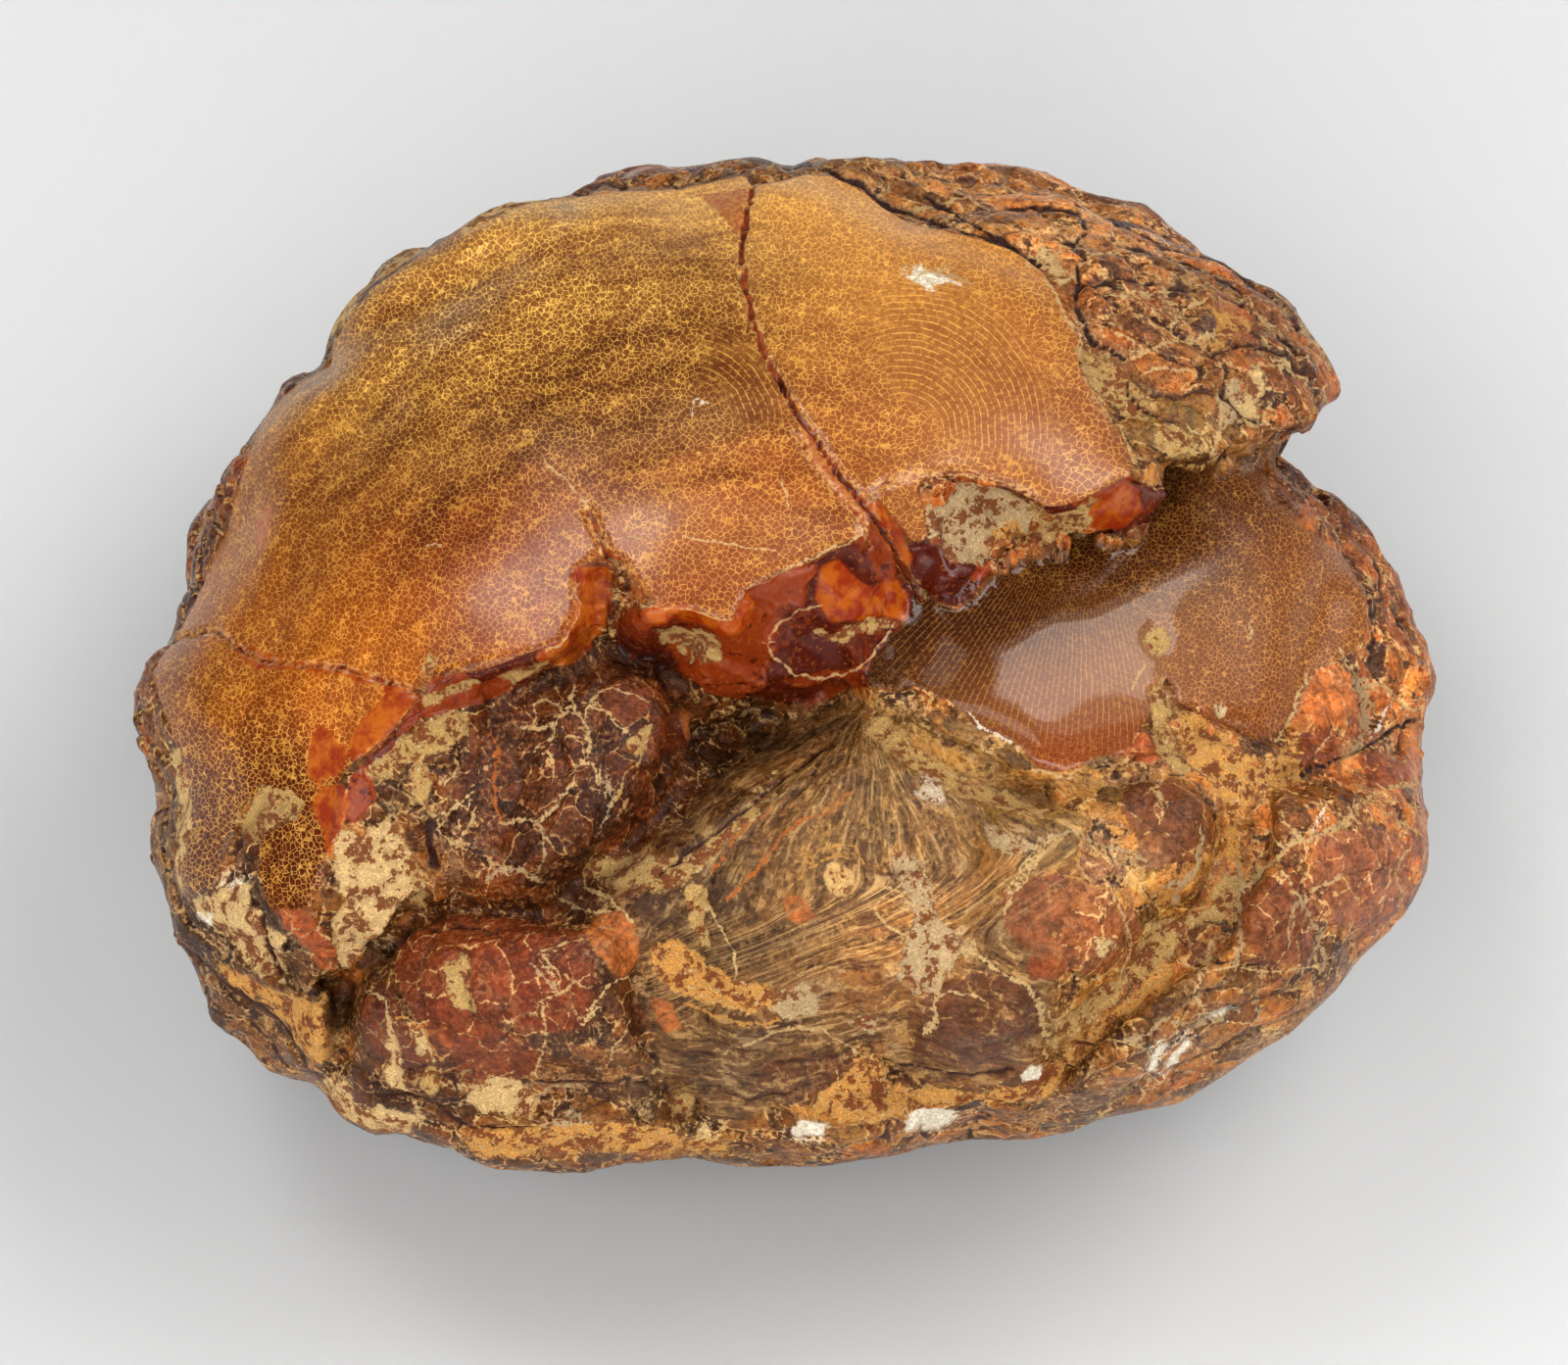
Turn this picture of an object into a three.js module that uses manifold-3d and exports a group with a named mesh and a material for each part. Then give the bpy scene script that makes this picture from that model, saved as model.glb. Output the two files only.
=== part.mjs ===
// A raw amber nodule: one lump of folded resin flows, millimetres, +Z up, resting on a small flat spot at z = 0.
// The origin is the bottom centre of its bounding box. X is its width, Y its depth (+Y is the back), Z its height.
//
// The lump is a slightly squared ellipsoid whose outline is drawn as seen from in front and above. On its front lie
// lobes, each an outline with a depth below the ellipsoid's own surface, and over them a thick cap of amber that ends
// in a broken, overhanging edge. The outlines are in the units of that drawing: U to the right and V down, 6.6 a millimetre.
import * as THREE from "three";
import { mergeVertices } from "three/addons/utils/BufferGeometryUtils.js";
import Module from "manifold-3d";

// ---- driving dimensions ---------------------------------------------------------------------------------------
const PER_MM = 6.6; // drawing units in a millimetre
const MID_U = 800, MID_V = 696.5; // the drawing's centre
const VIEW_DISTANCE = 900; // mm from the drawing's eye to the middle of the lump
const VIEW_ELEVATION = (55 * Math.PI) / 180;
const HALF_DEPTH = 87.5, HALF_HEIGHT = 55; // mm, of the ellipsoid, along Y and Z
const MIDDLE_Z = 53; // mm above the resting plane, so that the flat spot cuts the ellipsoid's lowest few millimetres
const SQUARED = 2.15; // exponent of the ellipsoid
const OUT_U = 798, OUT_V = 678; // the outline's own centre
const FLOOR = 12; // mm, how far the front lies below the ellipsoid between the lobes
const UNDER = 8; // how much deeper the body lies under the lens
const DIP = 3.5, DIP_WIDE = 13; // how far, and over what width, the lens sinks at the cap
const CELL = 5.6; // mm, the facets' size

// ---- outlines -------------------------------------------------------------------------------------------------
// the whole lump, the overhang's notch on the right bridged
const OUTLINE = [[133,728],[138,700],[150,680],[163,655],[177,620],[190,580],[197,550],[215,500],[235,465],[255,440],[280,412],[300,390],[318,385],[335,372],[336,345],[345,325],[362,302],[385,280],[410,262],[445,250],[467,232],[480,220],[520,206],[560,200],[585,195],[600,183],[640,175],[680,172],[705,173],[730,170],[770,165],[795,164],[810,168],[833,160],[860,160],[900,163],[930,170],[980,169],[1030,175],[1080,187],[1123,203],[1160,212],[1180,225],[1210,242],[1250,268],[1275,288],[1300,305],[1320,325],[1345,345],[1360,370],[1368,392],[1388,445],[1410,500],[1430,555],[1446,612],[1455,665],[1461,695],[1460,720],[1455,745],[1455,780],[1452,800],[1454,840],[1456,880],[1448,905],[1435,930],[1415,950],[1395,970],[1375,1000],[1350,1025],[1320,1055],[1280,1080],[1250,1098],[1210,1118],[1185,1132],[1150,1138],[1120,1148],[1095,1160],[1060,1164],[1030,1164],[990,1162],[965,1163],[940,1172],[900,1183],[850,1192],[800,1188],[760,1190],[700,1185],[660,1190],[610,1195],[560,1194],[520,1195],[490,1185],[450,1172],[400,1162],[370,1160],[345,1142],[330,1125],[322,1108],[300,1102],[280,1088],[265,1068],[240,1050],[220,1035],[205,1010],[195,985],[182,955],[170,930],[168,900],[160,870],[163,840],[160,810],[155,790],[145,765],[137,745]];
// where the body under the cap ends: outside the lump everywhere but at the notch, top right
const BODY = [[-200,-200],[1000,-200],[1010,215],[1080,240],[1130,270],[1180,320],[1220,375],[1255,425],[1288,456],[1310,468],[1335,488],[1360,505],[1385,533],[1405,560],[1425,590],[1442,616],[1700,700],[1700,1600],[-200,1600]];
// the cap: past the outline at the top and left, with the upper and the lower rim of its broken edge
const UPPER_RIM = [[-200,-200],[1700,-200],[1700,290],[1400,378],[1366,400],[1346,408],[1336,424],[1314,434],[1290,442],[1262,452],[1238,461],[1205,474],[1192,484],[1166,482],[1146,488],[1128,499],[1102,513],[1062,520],[1032,500],[990,485],[940,486],[893,504],[884,545],[850,563],[800,585],[762,600],[745,638],[702,624],[660,628],[648,600],[630,575],[606,570],[590,592],[592,636],[578,660],[555,673],[500,682],[442,692],[428,714],[400,744],[375,772],[358,830],[330,900],[310,950],[285,968],[240,945],[205,915],[170,885],[150,870],[-200,860]];
const LOWER_RIM = [[-200,-200],[1700,-200],[1700,300],[1400,388],[1368,412],[1347,421],[1339,436],[1315,446],[1290,455],[1262,466],[1240,476],[1212,490],[1207,510],[1150,540],[1102,555],[1058,555],[1012,577],[990,602],[974,614],[956,611],[944,604],[946,640],[935,668],[915,694],[868,697],[828,716],[790,710],[722,702],[698,686],[665,675],[612,672],[560,690],[506,716],[504,780],[492,850],[470,890],[442,908],[422,922],[400,952],[370,984],[342,1004],[318,1020],[285,1012],[232,980],[196,944],[165,915],[-200,900]];
// mm, between the two rims, at places along U
const CAP_THICK = [[440,11.0],[560,14.0],[640,19.0],[900,20.0],[960,13.0],[1150,11.0],[1350,9.0]];
// lobes: outline, depth below the ellipsoid at a point, tilt there along U and V, rounding of the rim in mm, slope of the side
const LOBES = [
  { name: "lens", at: [1180, 650], depth: 12.5, tilt: [-0.05, 0.02], rim: 8, side: 0.2,
    line: [[880,520],[1000,460],[1120,400],[1260,380],[1330,430],[1420,540],[1600,640],[1600,775],[1452,742],[1400,770],[1345,790],[1292,772],[1250,760],[1200,775],[1150,785],[1090,800],[1050,790],[1010,765],[955,745],[900,722],[870,690]] },
  { name: "ridge", at: [980, 760], depth: 17, tilt: [-0.02, 0], rim: 5, side: 0.4,
    line: [[890,705],[940,722],[985,742],[1030,765],[1075,785],[1085,808],[1048,818],[1000,806],[955,780],[905,750],[878,725]] },
  { name: "swirl", at: [880, 930], depth: 9.5, tilt: [0.03, -0.13], rim: 16, side: 0.6,
    line: [[862,722],[905,745],[955,775],[1010,805],[1060,815],[1110,830],[1090,900],[1075,990],[1075,1060],[1055,1092],[1000,1104],[940,1098],[903,1082],[880,1062],[850,1090],[815,1118],[760,1142],[705,1132],[682,1106],[668,1050],[655,990],[640,940],[618,900],[640,870],[700,830],[740,790],[790,745],[830,728]] },
  { name: "ear", at: [1140, 860], depth: 6.5, tilt: [0.03, -0.03], rim: 9, side: 0.35,
    line: [[1000,800],[1060,806],[1100,792],[1150,782],[1200,782],[1240,800],[1254,850],[1250,903],[1232,926],[1190,938],[1160,960],[1150,988],[1112,1012],[1100,1045],[1078,1070],[1040,1092],[980,1098],[925,1090],[905,1060],[940,985],[985,930],[985,860]] },
  { name: "belt", at: [1330, 950], depth: 2, tilt: [0, 0], rim: 8, side: 0.5,
    line: [[1275,770],[1330,796],[1392,784],[1455,750],[1700,760],[1700,1500],[1080,1500],[1085,1160],[1066,1108],[1106,1058],[1168,1000],[1236,952],[1272,890],[1278,830]] },
  { name: "lower_left", at: [520, 1020], depth: 5.5, tilt: [0, -0.05], rim: 11, side: 0.4,
    line: [[358,1010],[400,975],[440,940],[520,928],[600,918],[645,930],[662,965],[672,1020],[684,1080],[672,1108],[640,1118],[590,1112],[520,1108],[450,1118],[400,1112],[362,1082],[350,1045]] },
  { name: "ledge", at: [650, 1165], depth: 3, tilt: [0, 0], rim: 7, side: 0.45,
    line: [[325,1105],[380,1112],[460,1128],[560,1120],[660,1122],[740,1142],[815,1130],[870,1100],[930,1108],[1060,1104],[1090,1150],[1130,1400],[300,1400]] },
  { name: "knob", at: [585, 790], depth: 9.5, tilt: [-0.03, -0.02], rim: 13, side: 0.3,
    line: [[508,690],[560,650],[640,640],[690,672],[708,725],[700,772],[680,822],[648,866],[600,905],[545,928],[500,930],[478,912],[490,860],[504,800]] },
  { name: "tooth", at: [468, 840], depth: 8.5, tilt: [0, 0], rim: 7, side: 0.3,
    line: [[440,740],[500,740],[504,800],[496,870],[480,905],[450,916],[425,905],[420,860]] },
  { name: "under_left", at: [260, 1020], depth: 6, tilt: [0, 0], rim: 6, side: 0.3,
    line: [[100,880],[190,920],[290,985],[345,1000],[352,1030],[350,1080],[330,1108],[300,1300],[0,1300]] },
];
// folds and pits in the floor between the lobes: depth and half width in mm, line
const PITS = [
  { deep: 16, wide: 7, line: [[640,700],[700,745],[770,745],[840,720]] },
  { deep: 9, wide: 5, line: [[770,745],[700,810],[630,872],[585,905]] },
  { deep: 8, wide: 3.5, line: [[345,1015],[420,935],[490,930],[560,935]] },
  { deep: 6, wide: 2.5, line: [[346,1010],[352,1045],[345,1075]] },
  { deep: 5, wide: 3, line: [[905,740],[960,775],[1020,808],[1060,818]] },
  { deep: 4, wide: 3.5, line: [[1260,860],[1230,930],[1165,985],[1110,1045],[1075,1085]] },
  { deep: 4, wide: 2.5, line: [[684,1112],[700,1128]] },
  { deep: 4, wide: 2.5, line: [[1320,792],[1390,780],[1450,745]] },
];
// shallow troughs over cap and lobes, the same way
const TROUGHS = [
  { deep: 2.2, wide: 3.5, line: [[780,150],[835,195],[900,210],[960,236],[1010,250],[1058,270],[1088,310],[1112,352],[1130,395],[1160,440],[1190,478]] },
  { deep: 1.6, wide: 3, line: [[320,380],[380,345],[440,310],[520,262]] },
  { deep: 1.6, wide: 4, line: [[1380,560],[1350,610],[1330,680],[1320,740]] },
];
// low swells: amplitude in mm, wave vector per mm, phase
const SWELLS = [[1.0,[0.11,0.05,0.07],0.4],[0.9,[-0.06,0.12,0.05],1.9],[0.8,[0.05,-0.08,0.14],3.1],[0.7,[0.17,0.11,-0.04],4.4],[0.7,[-0.13,0.06,0.16],0.9],[0.6,[0.09,0.19,0.1],5.2],[0.5,[0.21,-0.12,0.13],2.2],[0.5,[0.02,0.24,-0.17],3.7]];

// ---- small mathematics -----------------------------------------------------------------------------------------
const SIN = Math.sin(VIEW_ELEVATION), COS = Math.cos(VIEW_ELEVATION);
const HIGH = Math.hypot(HALF_DEPTH * SIN, HALF_HEIGHT * COS); // half height of the drawn outline, mm
const SHEAR = ((HALF_DEPTH ** 2 - HALF_HEIGHT ** 2) * SIN * COS) / HIGH ** 2;
const THROUGH = (HALF_DEPTH * HALF_HEIGHT) / HIGH; // half thickness along the sheared sight line
const step = (a, b, x) => { const t = Math.min(1, Math.max(0, (x - a) / (b - a))); return t * t * (3 - 2 * t); };
const mix = (a, b, t) => a + (b - a) * t;
// both, with a round corner of radius r
const both = (x, y, r) => (x > -r && y > -r ? Math.hypot(x + r, y + r) - r : Math.max(x, y));
// either, with a fillet of about k
const either = (x, y, k) => { const t = Math.max(k - Math.abs(x - y), 0) / k; return Math.min(x, y) - (t * t * k) / 4; };
const segment = (p, a, b) => {
  const dx = b[0] - a[0], dy = b[1] - a[1];
  const t = Math.min(1, Math.max(0, ((p[0] - a[0]) * dx + (p[1] - a[1]) * dy) / (dx * dx + dy * dy)));
  return Math.hypot(p[0] - a[0] - t * dx, p[1] - a[1] - t * dy);
};
const toLine = (p, line) => { let d = 1e9; for (let i = 0; i + 1 < line.length; i++) d = Math.min(d, segment(p, line[i], line[i + 1])); return d / PER_MM; };
const toArea = (p, line) => {
  let d = 1e9, inside = false;
  for (let i = 0, j = line.length - 1; i < line.length; j = i++) {
    const a = line[i], b = line[j];
    d = Math.min(d, segment(p, a, b));
    if (a[1] > p[1] !== b[1] > p[1] && p[0] < ((b[0] - a[0]) * (p[1] - a[1])) / (b[1] - a[1]) + a[0]) inside = !inside;
  }
  return (inside ? -d : d) / PER_MM;
};
const strokes = (p, list) => list.reduce((sum, t) => { const d = toLine(p, t.line); return d < 3 * t.wide ? sum + t.deep * Math.exp(-((d / t.wide) ** 2)) : sum; }, 0);
// the outline's radius, mm, at each of 360 angles about its centre
const RAW = (() => {
  const far = (angle) => {
    const c = Math.cos(angle), s = Math.sin(angle);
    let best = 0;
    for (let i = 0, j = OUTLINE.length - 1; i < OUTLINE.length; j = i++) {
      const ax = (OUTLINE[j][0] - OUT_U) / PER_MM, ay = (OUT_V - OUTLINE[j][1]) / PER_MM;
      const ex = (OUTLINE[i][0] - OUT_U) / PER_MM - ax, ey = (OUT_V - OUTLINE[i][1]) / PER_MM - ay, den = c * ey - s * ex;
      if (Math.abs(den) < 1e-12) continue;
      const r = (ax * ey - ay * ex) / den, t = (ax * s - ay * c) / den;
      if (r > 0 && t >= -1e-9 && t <= 1 + 1e-9) best = Math.max(best, r);
    }
    return best;
  };
  return Array.from({ length: 360 }, (_, i) => far((i * Math.PI) / 180));
})();
const FINE = RAW.map((_, i) => (RAW[(i + 359) % 360] + 2 * RAW[i] + RAW[(i + 1) % 360]) / 4);
const EVEN = RAW.map((_, i) => {
  let sum = 0, weights = 0;
  for (let k = -30; k <= 30; k++) { const w = Math.exp(-((k / 14) ** 2)); sum += w * RAW[(i + k + 360) % 360]; weights += w; }
  return sum / weights;
});

// ---- the lump: negative inside, about millimetres near its surface ----------------------------------------------
function lump(x, y, z) {
  const zz = z - MIDDLE_Z;
  const up = y * SIN + zz * COS, near = -y * COS + zz * SIN;
  const grow = VIEW_DISTANCE / (VIEW_DISTANCE - near);
  const U = MID_U + x * grow * PER_MM, V = MID_V - up * grow * PER_MM, p = [U, V];
  const a = (U - OUT_U) / PER_MM, b = (OUT_V - V) / PER_MM;
  const through = near + SHEAR * up;
  const turn = (((Math.atan2(b, a) * 180) / Math.PI) % 360 + 360) % 360, i = Math.floor(turn);
  const fine = mix(FINE[i % 360], FINE[(i + 1) % 360], turn - i), even = mix(EVEN[i % 360], EVEN[(i + 1) % 360], turn - i);
  const R = mix(even, fine, step(0.55, 0.97, Math.hypot(a, b) / fine));
  const r = Math.hypot(a, b) / R, k = Math.abs(through) / THROUGH;
  const g = Math.max(Math.pow(Math.pow(r, SQUARED) + Math.pow(k, SQUARED), 1 / SQUARED), 1e-6);
  const slope = Math.hypot(Math.pow(r / g, SQUARED - 1) / R, Math.pow(k / g, SQUARED - 1) / THROUGH);
  let h = (g - 1) / slope; // height over the ellipsoid
  const front = step(-4, 10, through);
  const wave = SWELLS.reduce((sum, [amp, q, phase]) => sum + amp * Math.sin(q[0] * x + q[1] * y + q[2] * z + phase), 0);
  h -= wave * (1 - 0.65 * front);
  const rimFade = 1 - Math.pow(Math.min(r, 1), 4);
  const d1 = toArea(p, UPPER_RIM), d2 = toArea(p, LOWER_RIM), dBody = toArea(p, BODY);
  // the body
  const floor = 4 + (FLOOR - 4) * step(-22, -6, d2) + strokes(p, PITS) + UNDER * step(0, -6, toArea(p, LOBES[0].line));
  let f = both(h + floor * rimFade * front, dBody, 10);
  // lobes
  for (const lobe of LOBES) {
    const d = toArea(p, lobe.line);
    let lie = -lobe.depth * (0.2 + 0.8 * rimFade) + (lobe.tilt[0] * (U - lobe.at[0]) + lobe.tilt[1] * (lobe.at[1] - V)) / PER_MM;
    if (lobe.name === "lens") lie -= DIP * step(DIP_WIDE, -2, d2); // it sinks a little towards the hollow under the cap
    let part = both(h - lie, d + lobe.side * (lie - h), lobe.rim);
    if (lobe.name === "lens") part = both(part, dBody, 8);
    part = Math.max(part, -(through + 6));
    f = either(f, part, 2.2);
  }
  // the cap, with its broken edge and the hollow under it
  let thick = CAP_THICK[0][1];
  for (let m = 0; m + 1 < CAP_THICK.length; m++) {
    const [u0, t0] = CAP_THICK[m], [u1, t1] = CAP_THICK[m + 1];
    if (U >= u0) thick = mix(t0, t1, Math.min(1, (U - u0) / (u1 - u0)));
  }
  const d = mix(d1, d2, Math.min(1.15, Math.max(0, -h / thick)));
  let cap = both(h, 0.8 * d, 1.4);
  cap = Math.max(cap, -(h + thick + 5 * step(-6, -20, d1)));
  cap = Math.max(cap, -(through + 14));
  f = either(f, cap, 0.8);
  return f + strokes(p, TROUGHS) * front;
}

// ---- a faceted skin over the lump: one vertex in each cell that the surface crosses ------------------------------
function skin() {
  const lo = [-112, -101, -15], n = [39, 35, 22].map((v) => Math.ceil((v * 6) / CELL));
  const at = (i, j, k) => i + (n[0] + 1) * (j + (n[1] + 1) * k);
  const place = (i, axis) => lo[axis] + i * CELL;
  const value = new Float64Array((n[0] + 1) * (n[1] + 1) * (n[2] + 1));
  for (let k = 0; k <= n[2]; k++) for (let j = 0; j <= n[1]; j++) for (let i = 0; i <= n[0]; i++)
    value[at(i, j, k)] = lump(place(i, 0), place(j, 1), place(k, 2));
  // where two folds meet only corner to corner, fill the cell between them
  const strides = [at(1, 0, 0), at(0, 1, 0), at(0, 0, 1)];
  const CORNERS = [0, 1, 2, 3, 4, 5, 6, 7].map((c) => strides.reduce((sum, s, m) => sum + (c & (1 << m) ? s : 0), 0));
  const linked = (here, wanted) => {
    const left = new Set(CORNERS.map((s, c) => c).filter((c) => value[here + CORNERS[c]] < 0 === wanted));
    const stack = [...left].slice(0, 1);
    left.delete(stack[0]);
    while (stack.length) {
      const c = stack.pop();
      for (const m of [1, 2, 4]) if (left.delete(c ^ m)) stack.push(c ^ m);
    }
    return !left.size;
  };
  const fill = (spots) => {
    const open = spots.filter((s) => value[s] >= 0).sort((a, b) => value[a] - value[b]);
    value[open[0]] = -0.02;
  };
  for (let again = true; again; ) {
    again = false;
    for (let k = 0; k < n[2]; k++) for (let j = 0; j < n[1]; j++) for (let i = 0; i < n[0]; i++) {
      const here = at(i, j, k);
      for (let m = 0; m < 3; m++) {
        const s = strides[m], t = strides[(m + 1) % 3], q = [here, here + s, here + s + t, here + t];
        const sign = q.map((v) => value[v] < 0);
        if (sign[0] === sign[2] && sign[1] === sign[3] && sign[0] !== sign[1]) { fill(q); again = true; }
      }
      if (!linked(here, true) || !linked(here, false)) { fill(CORNERS.map((s) => here + s)); again = true; }
    }
  }
  const vertices = [], index = [], cell = new Int32Array(value.length).fill(-1);
  for (let k = 0; k < n[2]; k++) for (let j = 0; j < n[1]; j++) for (let i = 0; i < n[0]; i++) {
    const sum = [0, 0, 0];
    let count = 0;
    const corner = (c) => value[at(i + (c & 1), j + ((c >> 1) & 1), k + (c >> 2))];
    for (let c = 0; c < 8; c++) for (let axis = 0; axis < 3; axis++) {
      if (c & (1 << axis)) continue;
      const a = corner(c), b = corner(c | (1 << axis));
      if (a < 0 === b < 0) continue;
      const t = a / (a - b);
      for (let m = 0; m < 3; m++) sum[m] += ((c >> m) & 1) + (m === axis ? t : 0);
      count++;
    }
    if (!count) continue;
    cell[at(i, j, k)] = vertices.length / 3;
    vertices.push(place(i + sum[0] / count, 0), place(j + sum[1] / count, 1), place(k + sum[2] / count, 2));
  }
  for (let k = 1; k < n[2]; k++) for (let j = 1; j < n[1]; j++) for (let i = 1; i < n[0]; i++) for (let axis = 0; axis < 3; axis++) {
    const here = at(i, j, k), a = value[here], b = value[here + strides[axis]];
    if (a < 0 === b < 0) continue;
    const s = strides[(axis + 1) % 3], t = strides[(axis + 2) % 3];
    const q = [cell[here - s - t], cell[here - t], cell[here], cell[here - s]];
    if (a >= 0) q.reverse();
    // split each four-sided facet along its shorter diagonal
    const gap = (m, l) => Math.hypot(...[0, 1, 2].map((c) => vertices[3 * q[m] + c] - vertices[3 * q[l] + c]));
    if (gap(0, 2) < gap(1, 3)) index.push(q[0], q[1], q[2], q[0], q[2], q[3]);
    else index.push(q[0], q[1], q[3], q[1], q[2], q[3]);
  }
  return new THREE.BufferGeometry()
    .setAttribute("position", new THREE.BufferAttribute(new Float32Array(vertices), 3))
    .setIndex(index);
}

// ---- solids ------------------------------------------------------------------------------------------------------
const wasm = await Module();
wasm.setup();
const solid = (geometry) => new wasm.Manifold(new wasm.Mesh({
  numProp: 3,
  vertProperties: new Float32Array(geometry.getAttribute("position").array),
  triVerts: new Uint32Array(geometry.index.array),
}));
const shape = (made) => {
  const m = made.getMesh(), v = new Float32Array(m.numVert * 3);
  for (let i = 0; i < m.numVert; i++) v.set(m.vertProperties.subarray(i * m.numProp, i * m.numProp + 3), i * 3);
  return new THREE.BufferGeometry()
    .setAttribute("position", new THREE.BufferAttribute(v, 3))
    .setIndex(new THREE.BufferAttribute(new Uint32Array(m.triVerts), 1));
};
let nodule = solid(skin());
nodule = nodule.decompose().sort((a, b) => b.volume() - a.volume())[0];
// the small flat spot it rests on
const below = new THREE.BoxGeometry(400, 400, 60);
below.translate(0, 0, -30);
below.deleteAttribute("normal");
below.deleteAttribute("uv");
nodule = nodule.subtract(solid(mergeVertices(below, 1e-4)));
nodule = nodule.decompose().sort((a, b) => b.volume() - a.volume())[0];

const geometry = shape(nodule);
geometry.computeBoundingBox();
const box = geometry.boundingBox;
geometry.translate(-(box.min.x + box.max.x) / 2, -(box.min.y + box.max.y) / 2, 0);
geometry.computeVertexNormals();

const amber = new THREE.MeshStandardMaterial({ color: new THREE.Color(0.42, 0.17, 0.05), roughness: 0.3, metalness: 0 });
const lumpMesh = new THREE.Mesh(geometry, amber);
lumpMesh.name = "amber_nodule";
const root = new THREE.Group();
root.add(lumpMesh);
export default root;
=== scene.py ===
"""The looks of a raw amber lump: a fine closed mesh of its shape, with procedural amber, crust and clay."""
import math

import bpy
import numpy as np
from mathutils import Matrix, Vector


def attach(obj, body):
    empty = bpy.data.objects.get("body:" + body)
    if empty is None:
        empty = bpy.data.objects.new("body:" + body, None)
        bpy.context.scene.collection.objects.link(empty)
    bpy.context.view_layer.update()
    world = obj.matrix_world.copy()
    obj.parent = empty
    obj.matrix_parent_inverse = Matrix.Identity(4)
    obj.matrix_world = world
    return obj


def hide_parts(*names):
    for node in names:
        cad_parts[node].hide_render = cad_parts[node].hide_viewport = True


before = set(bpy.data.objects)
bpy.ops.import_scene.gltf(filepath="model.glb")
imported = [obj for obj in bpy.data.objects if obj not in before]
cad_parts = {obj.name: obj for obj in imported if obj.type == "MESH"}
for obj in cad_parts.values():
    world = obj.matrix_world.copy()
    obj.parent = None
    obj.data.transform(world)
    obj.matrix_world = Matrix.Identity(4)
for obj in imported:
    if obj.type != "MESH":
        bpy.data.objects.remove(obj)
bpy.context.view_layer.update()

# ---- the lump's shape, the same numbers as in the CAD -------------------------------------------------------
PER_MM = 6.6
MID_U, MID_V = 800.0, 696.5
VIEW_DISTANCE = 900.0
VIEW_ELEVATION = math.radians(55)
HALF_DEPTH, HALF_HEIGHT = 87.5, 55.0
MIDDLE_Z = 53.0
SQUARED = 2.15
OUT_U, OUT_V = 798.0, 678.0
OUTLINE = [[133,728],[138,700],[150,680],[163,655],[177,620],[190,580],[197,550],[215,500],[235,465],[255,440],[280,412],[300,390],[318,385],[335,372],[336,345],[345,325],[362,302],[385,280],[410,262],[445,250],[467,232],[480,220],[520,206],[560,200],[585,195],[600,183],[640,175],[680,172],[705,173],[730,170],[770,165],[795,164],[810,168],[833,160],[860,160],[900,163],[930,170],[980,169],[1030,175],[1080,187],[1123,203],[1160,212],[1180,225],[1210,242],[1250,268],[1275,288],[1300,305],[1320,325],[1345,345],[1360,370],[1368,392],[1388,445],[1410,500],[1430,555],[1446,612],[1455,665],[1461,695],[1460,720],[1455,745],[1455,780],[1452,800],[1454,840],[1456,880],[1448,905],[1435,930],[1415,950],[1395,970],[1375,1000],[1350,1025],[1320,1055],[1280,1080],[1250,1098],[1210,1118],[1185,1132],[1150,1138],[1120,1148],[1095,1160],[1060,1164],[1030,1164],[990,1162],[965,1163],[940,1172],[900,1183],[850,1192],[800,1188],[760,1190],[700,1185],[660,1190],[610,1195],[560,1194],[520,1195],[490,1185],[450,1172],[400,1162],[370,1160],[345,1142],[330,1125],[322,1108],[300,1102],[280,1088],[265,1068],[240,1050],[220,1035],[205,1010],[195,985],[182,955],[170,930],[168,900],[160,870],[163,840],[160,810],[155,790],[145,765],[137,745]]
BODY = [[-200,-200],[1000,-200],[1010,215],[1080,240],[1130,270],[1180,320],[1220,375],[1255,425],[1288,456],[1310,468],[1335,488],[1360,505],[1385,533],[1405,560],[1425,590],[1442,616],[1700,700],[1700,1600],[-200,1600]]
UPPER_RIM = [[-200,-200],[1700,-200],[1700,290],[1400,378],[1366,400],[1346,408],[1336,424],[1314,434],[1290,442],[1262,452],[1238,461],[1205,474],[1192,484],[1166,482],[1146,488],[1128,499],[1102,513],[1062,520],[1032,500],[990,485],[940,486],[893,504],[884,545],[850,563],[800,585],[762,600],[745,638],[702,624],[660,628],[648,600],[630,575],[606,570],[590,592],[592,636],[578,660],[555,673],[500,682],[442,692],[428,714],[400,744],[375,772],[358,830],[330,900],[310,950],[285,968],[240,945],[205,915],[170,885],[150,870],[-200,860]]
LOWER_RIM = [[-200,-200],[1700,-200],[1700,300],[1400,388],[1368,412],[1347,421],[1339,436],[1315,446],[1290,455],[1262,466],[1240,476],[1212,490],[1207,510],[1150,540],[1102,555],[1058,555],[1012,577],[990,602],[974,614],[956,611],[944,604],[946,640],[935,668],[915,694],[868,697],[828,716],[790,710],[722,702],[698,686],[665,675],[612,672],[560,690],[506,716],[504,780],[492,850],[470,890],[442,908],[422,922],[400,952],[370,984],[342,1004],[318,1020],[285,1012],[232,980],[196,944],[165,915],[-200,900]]
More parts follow.
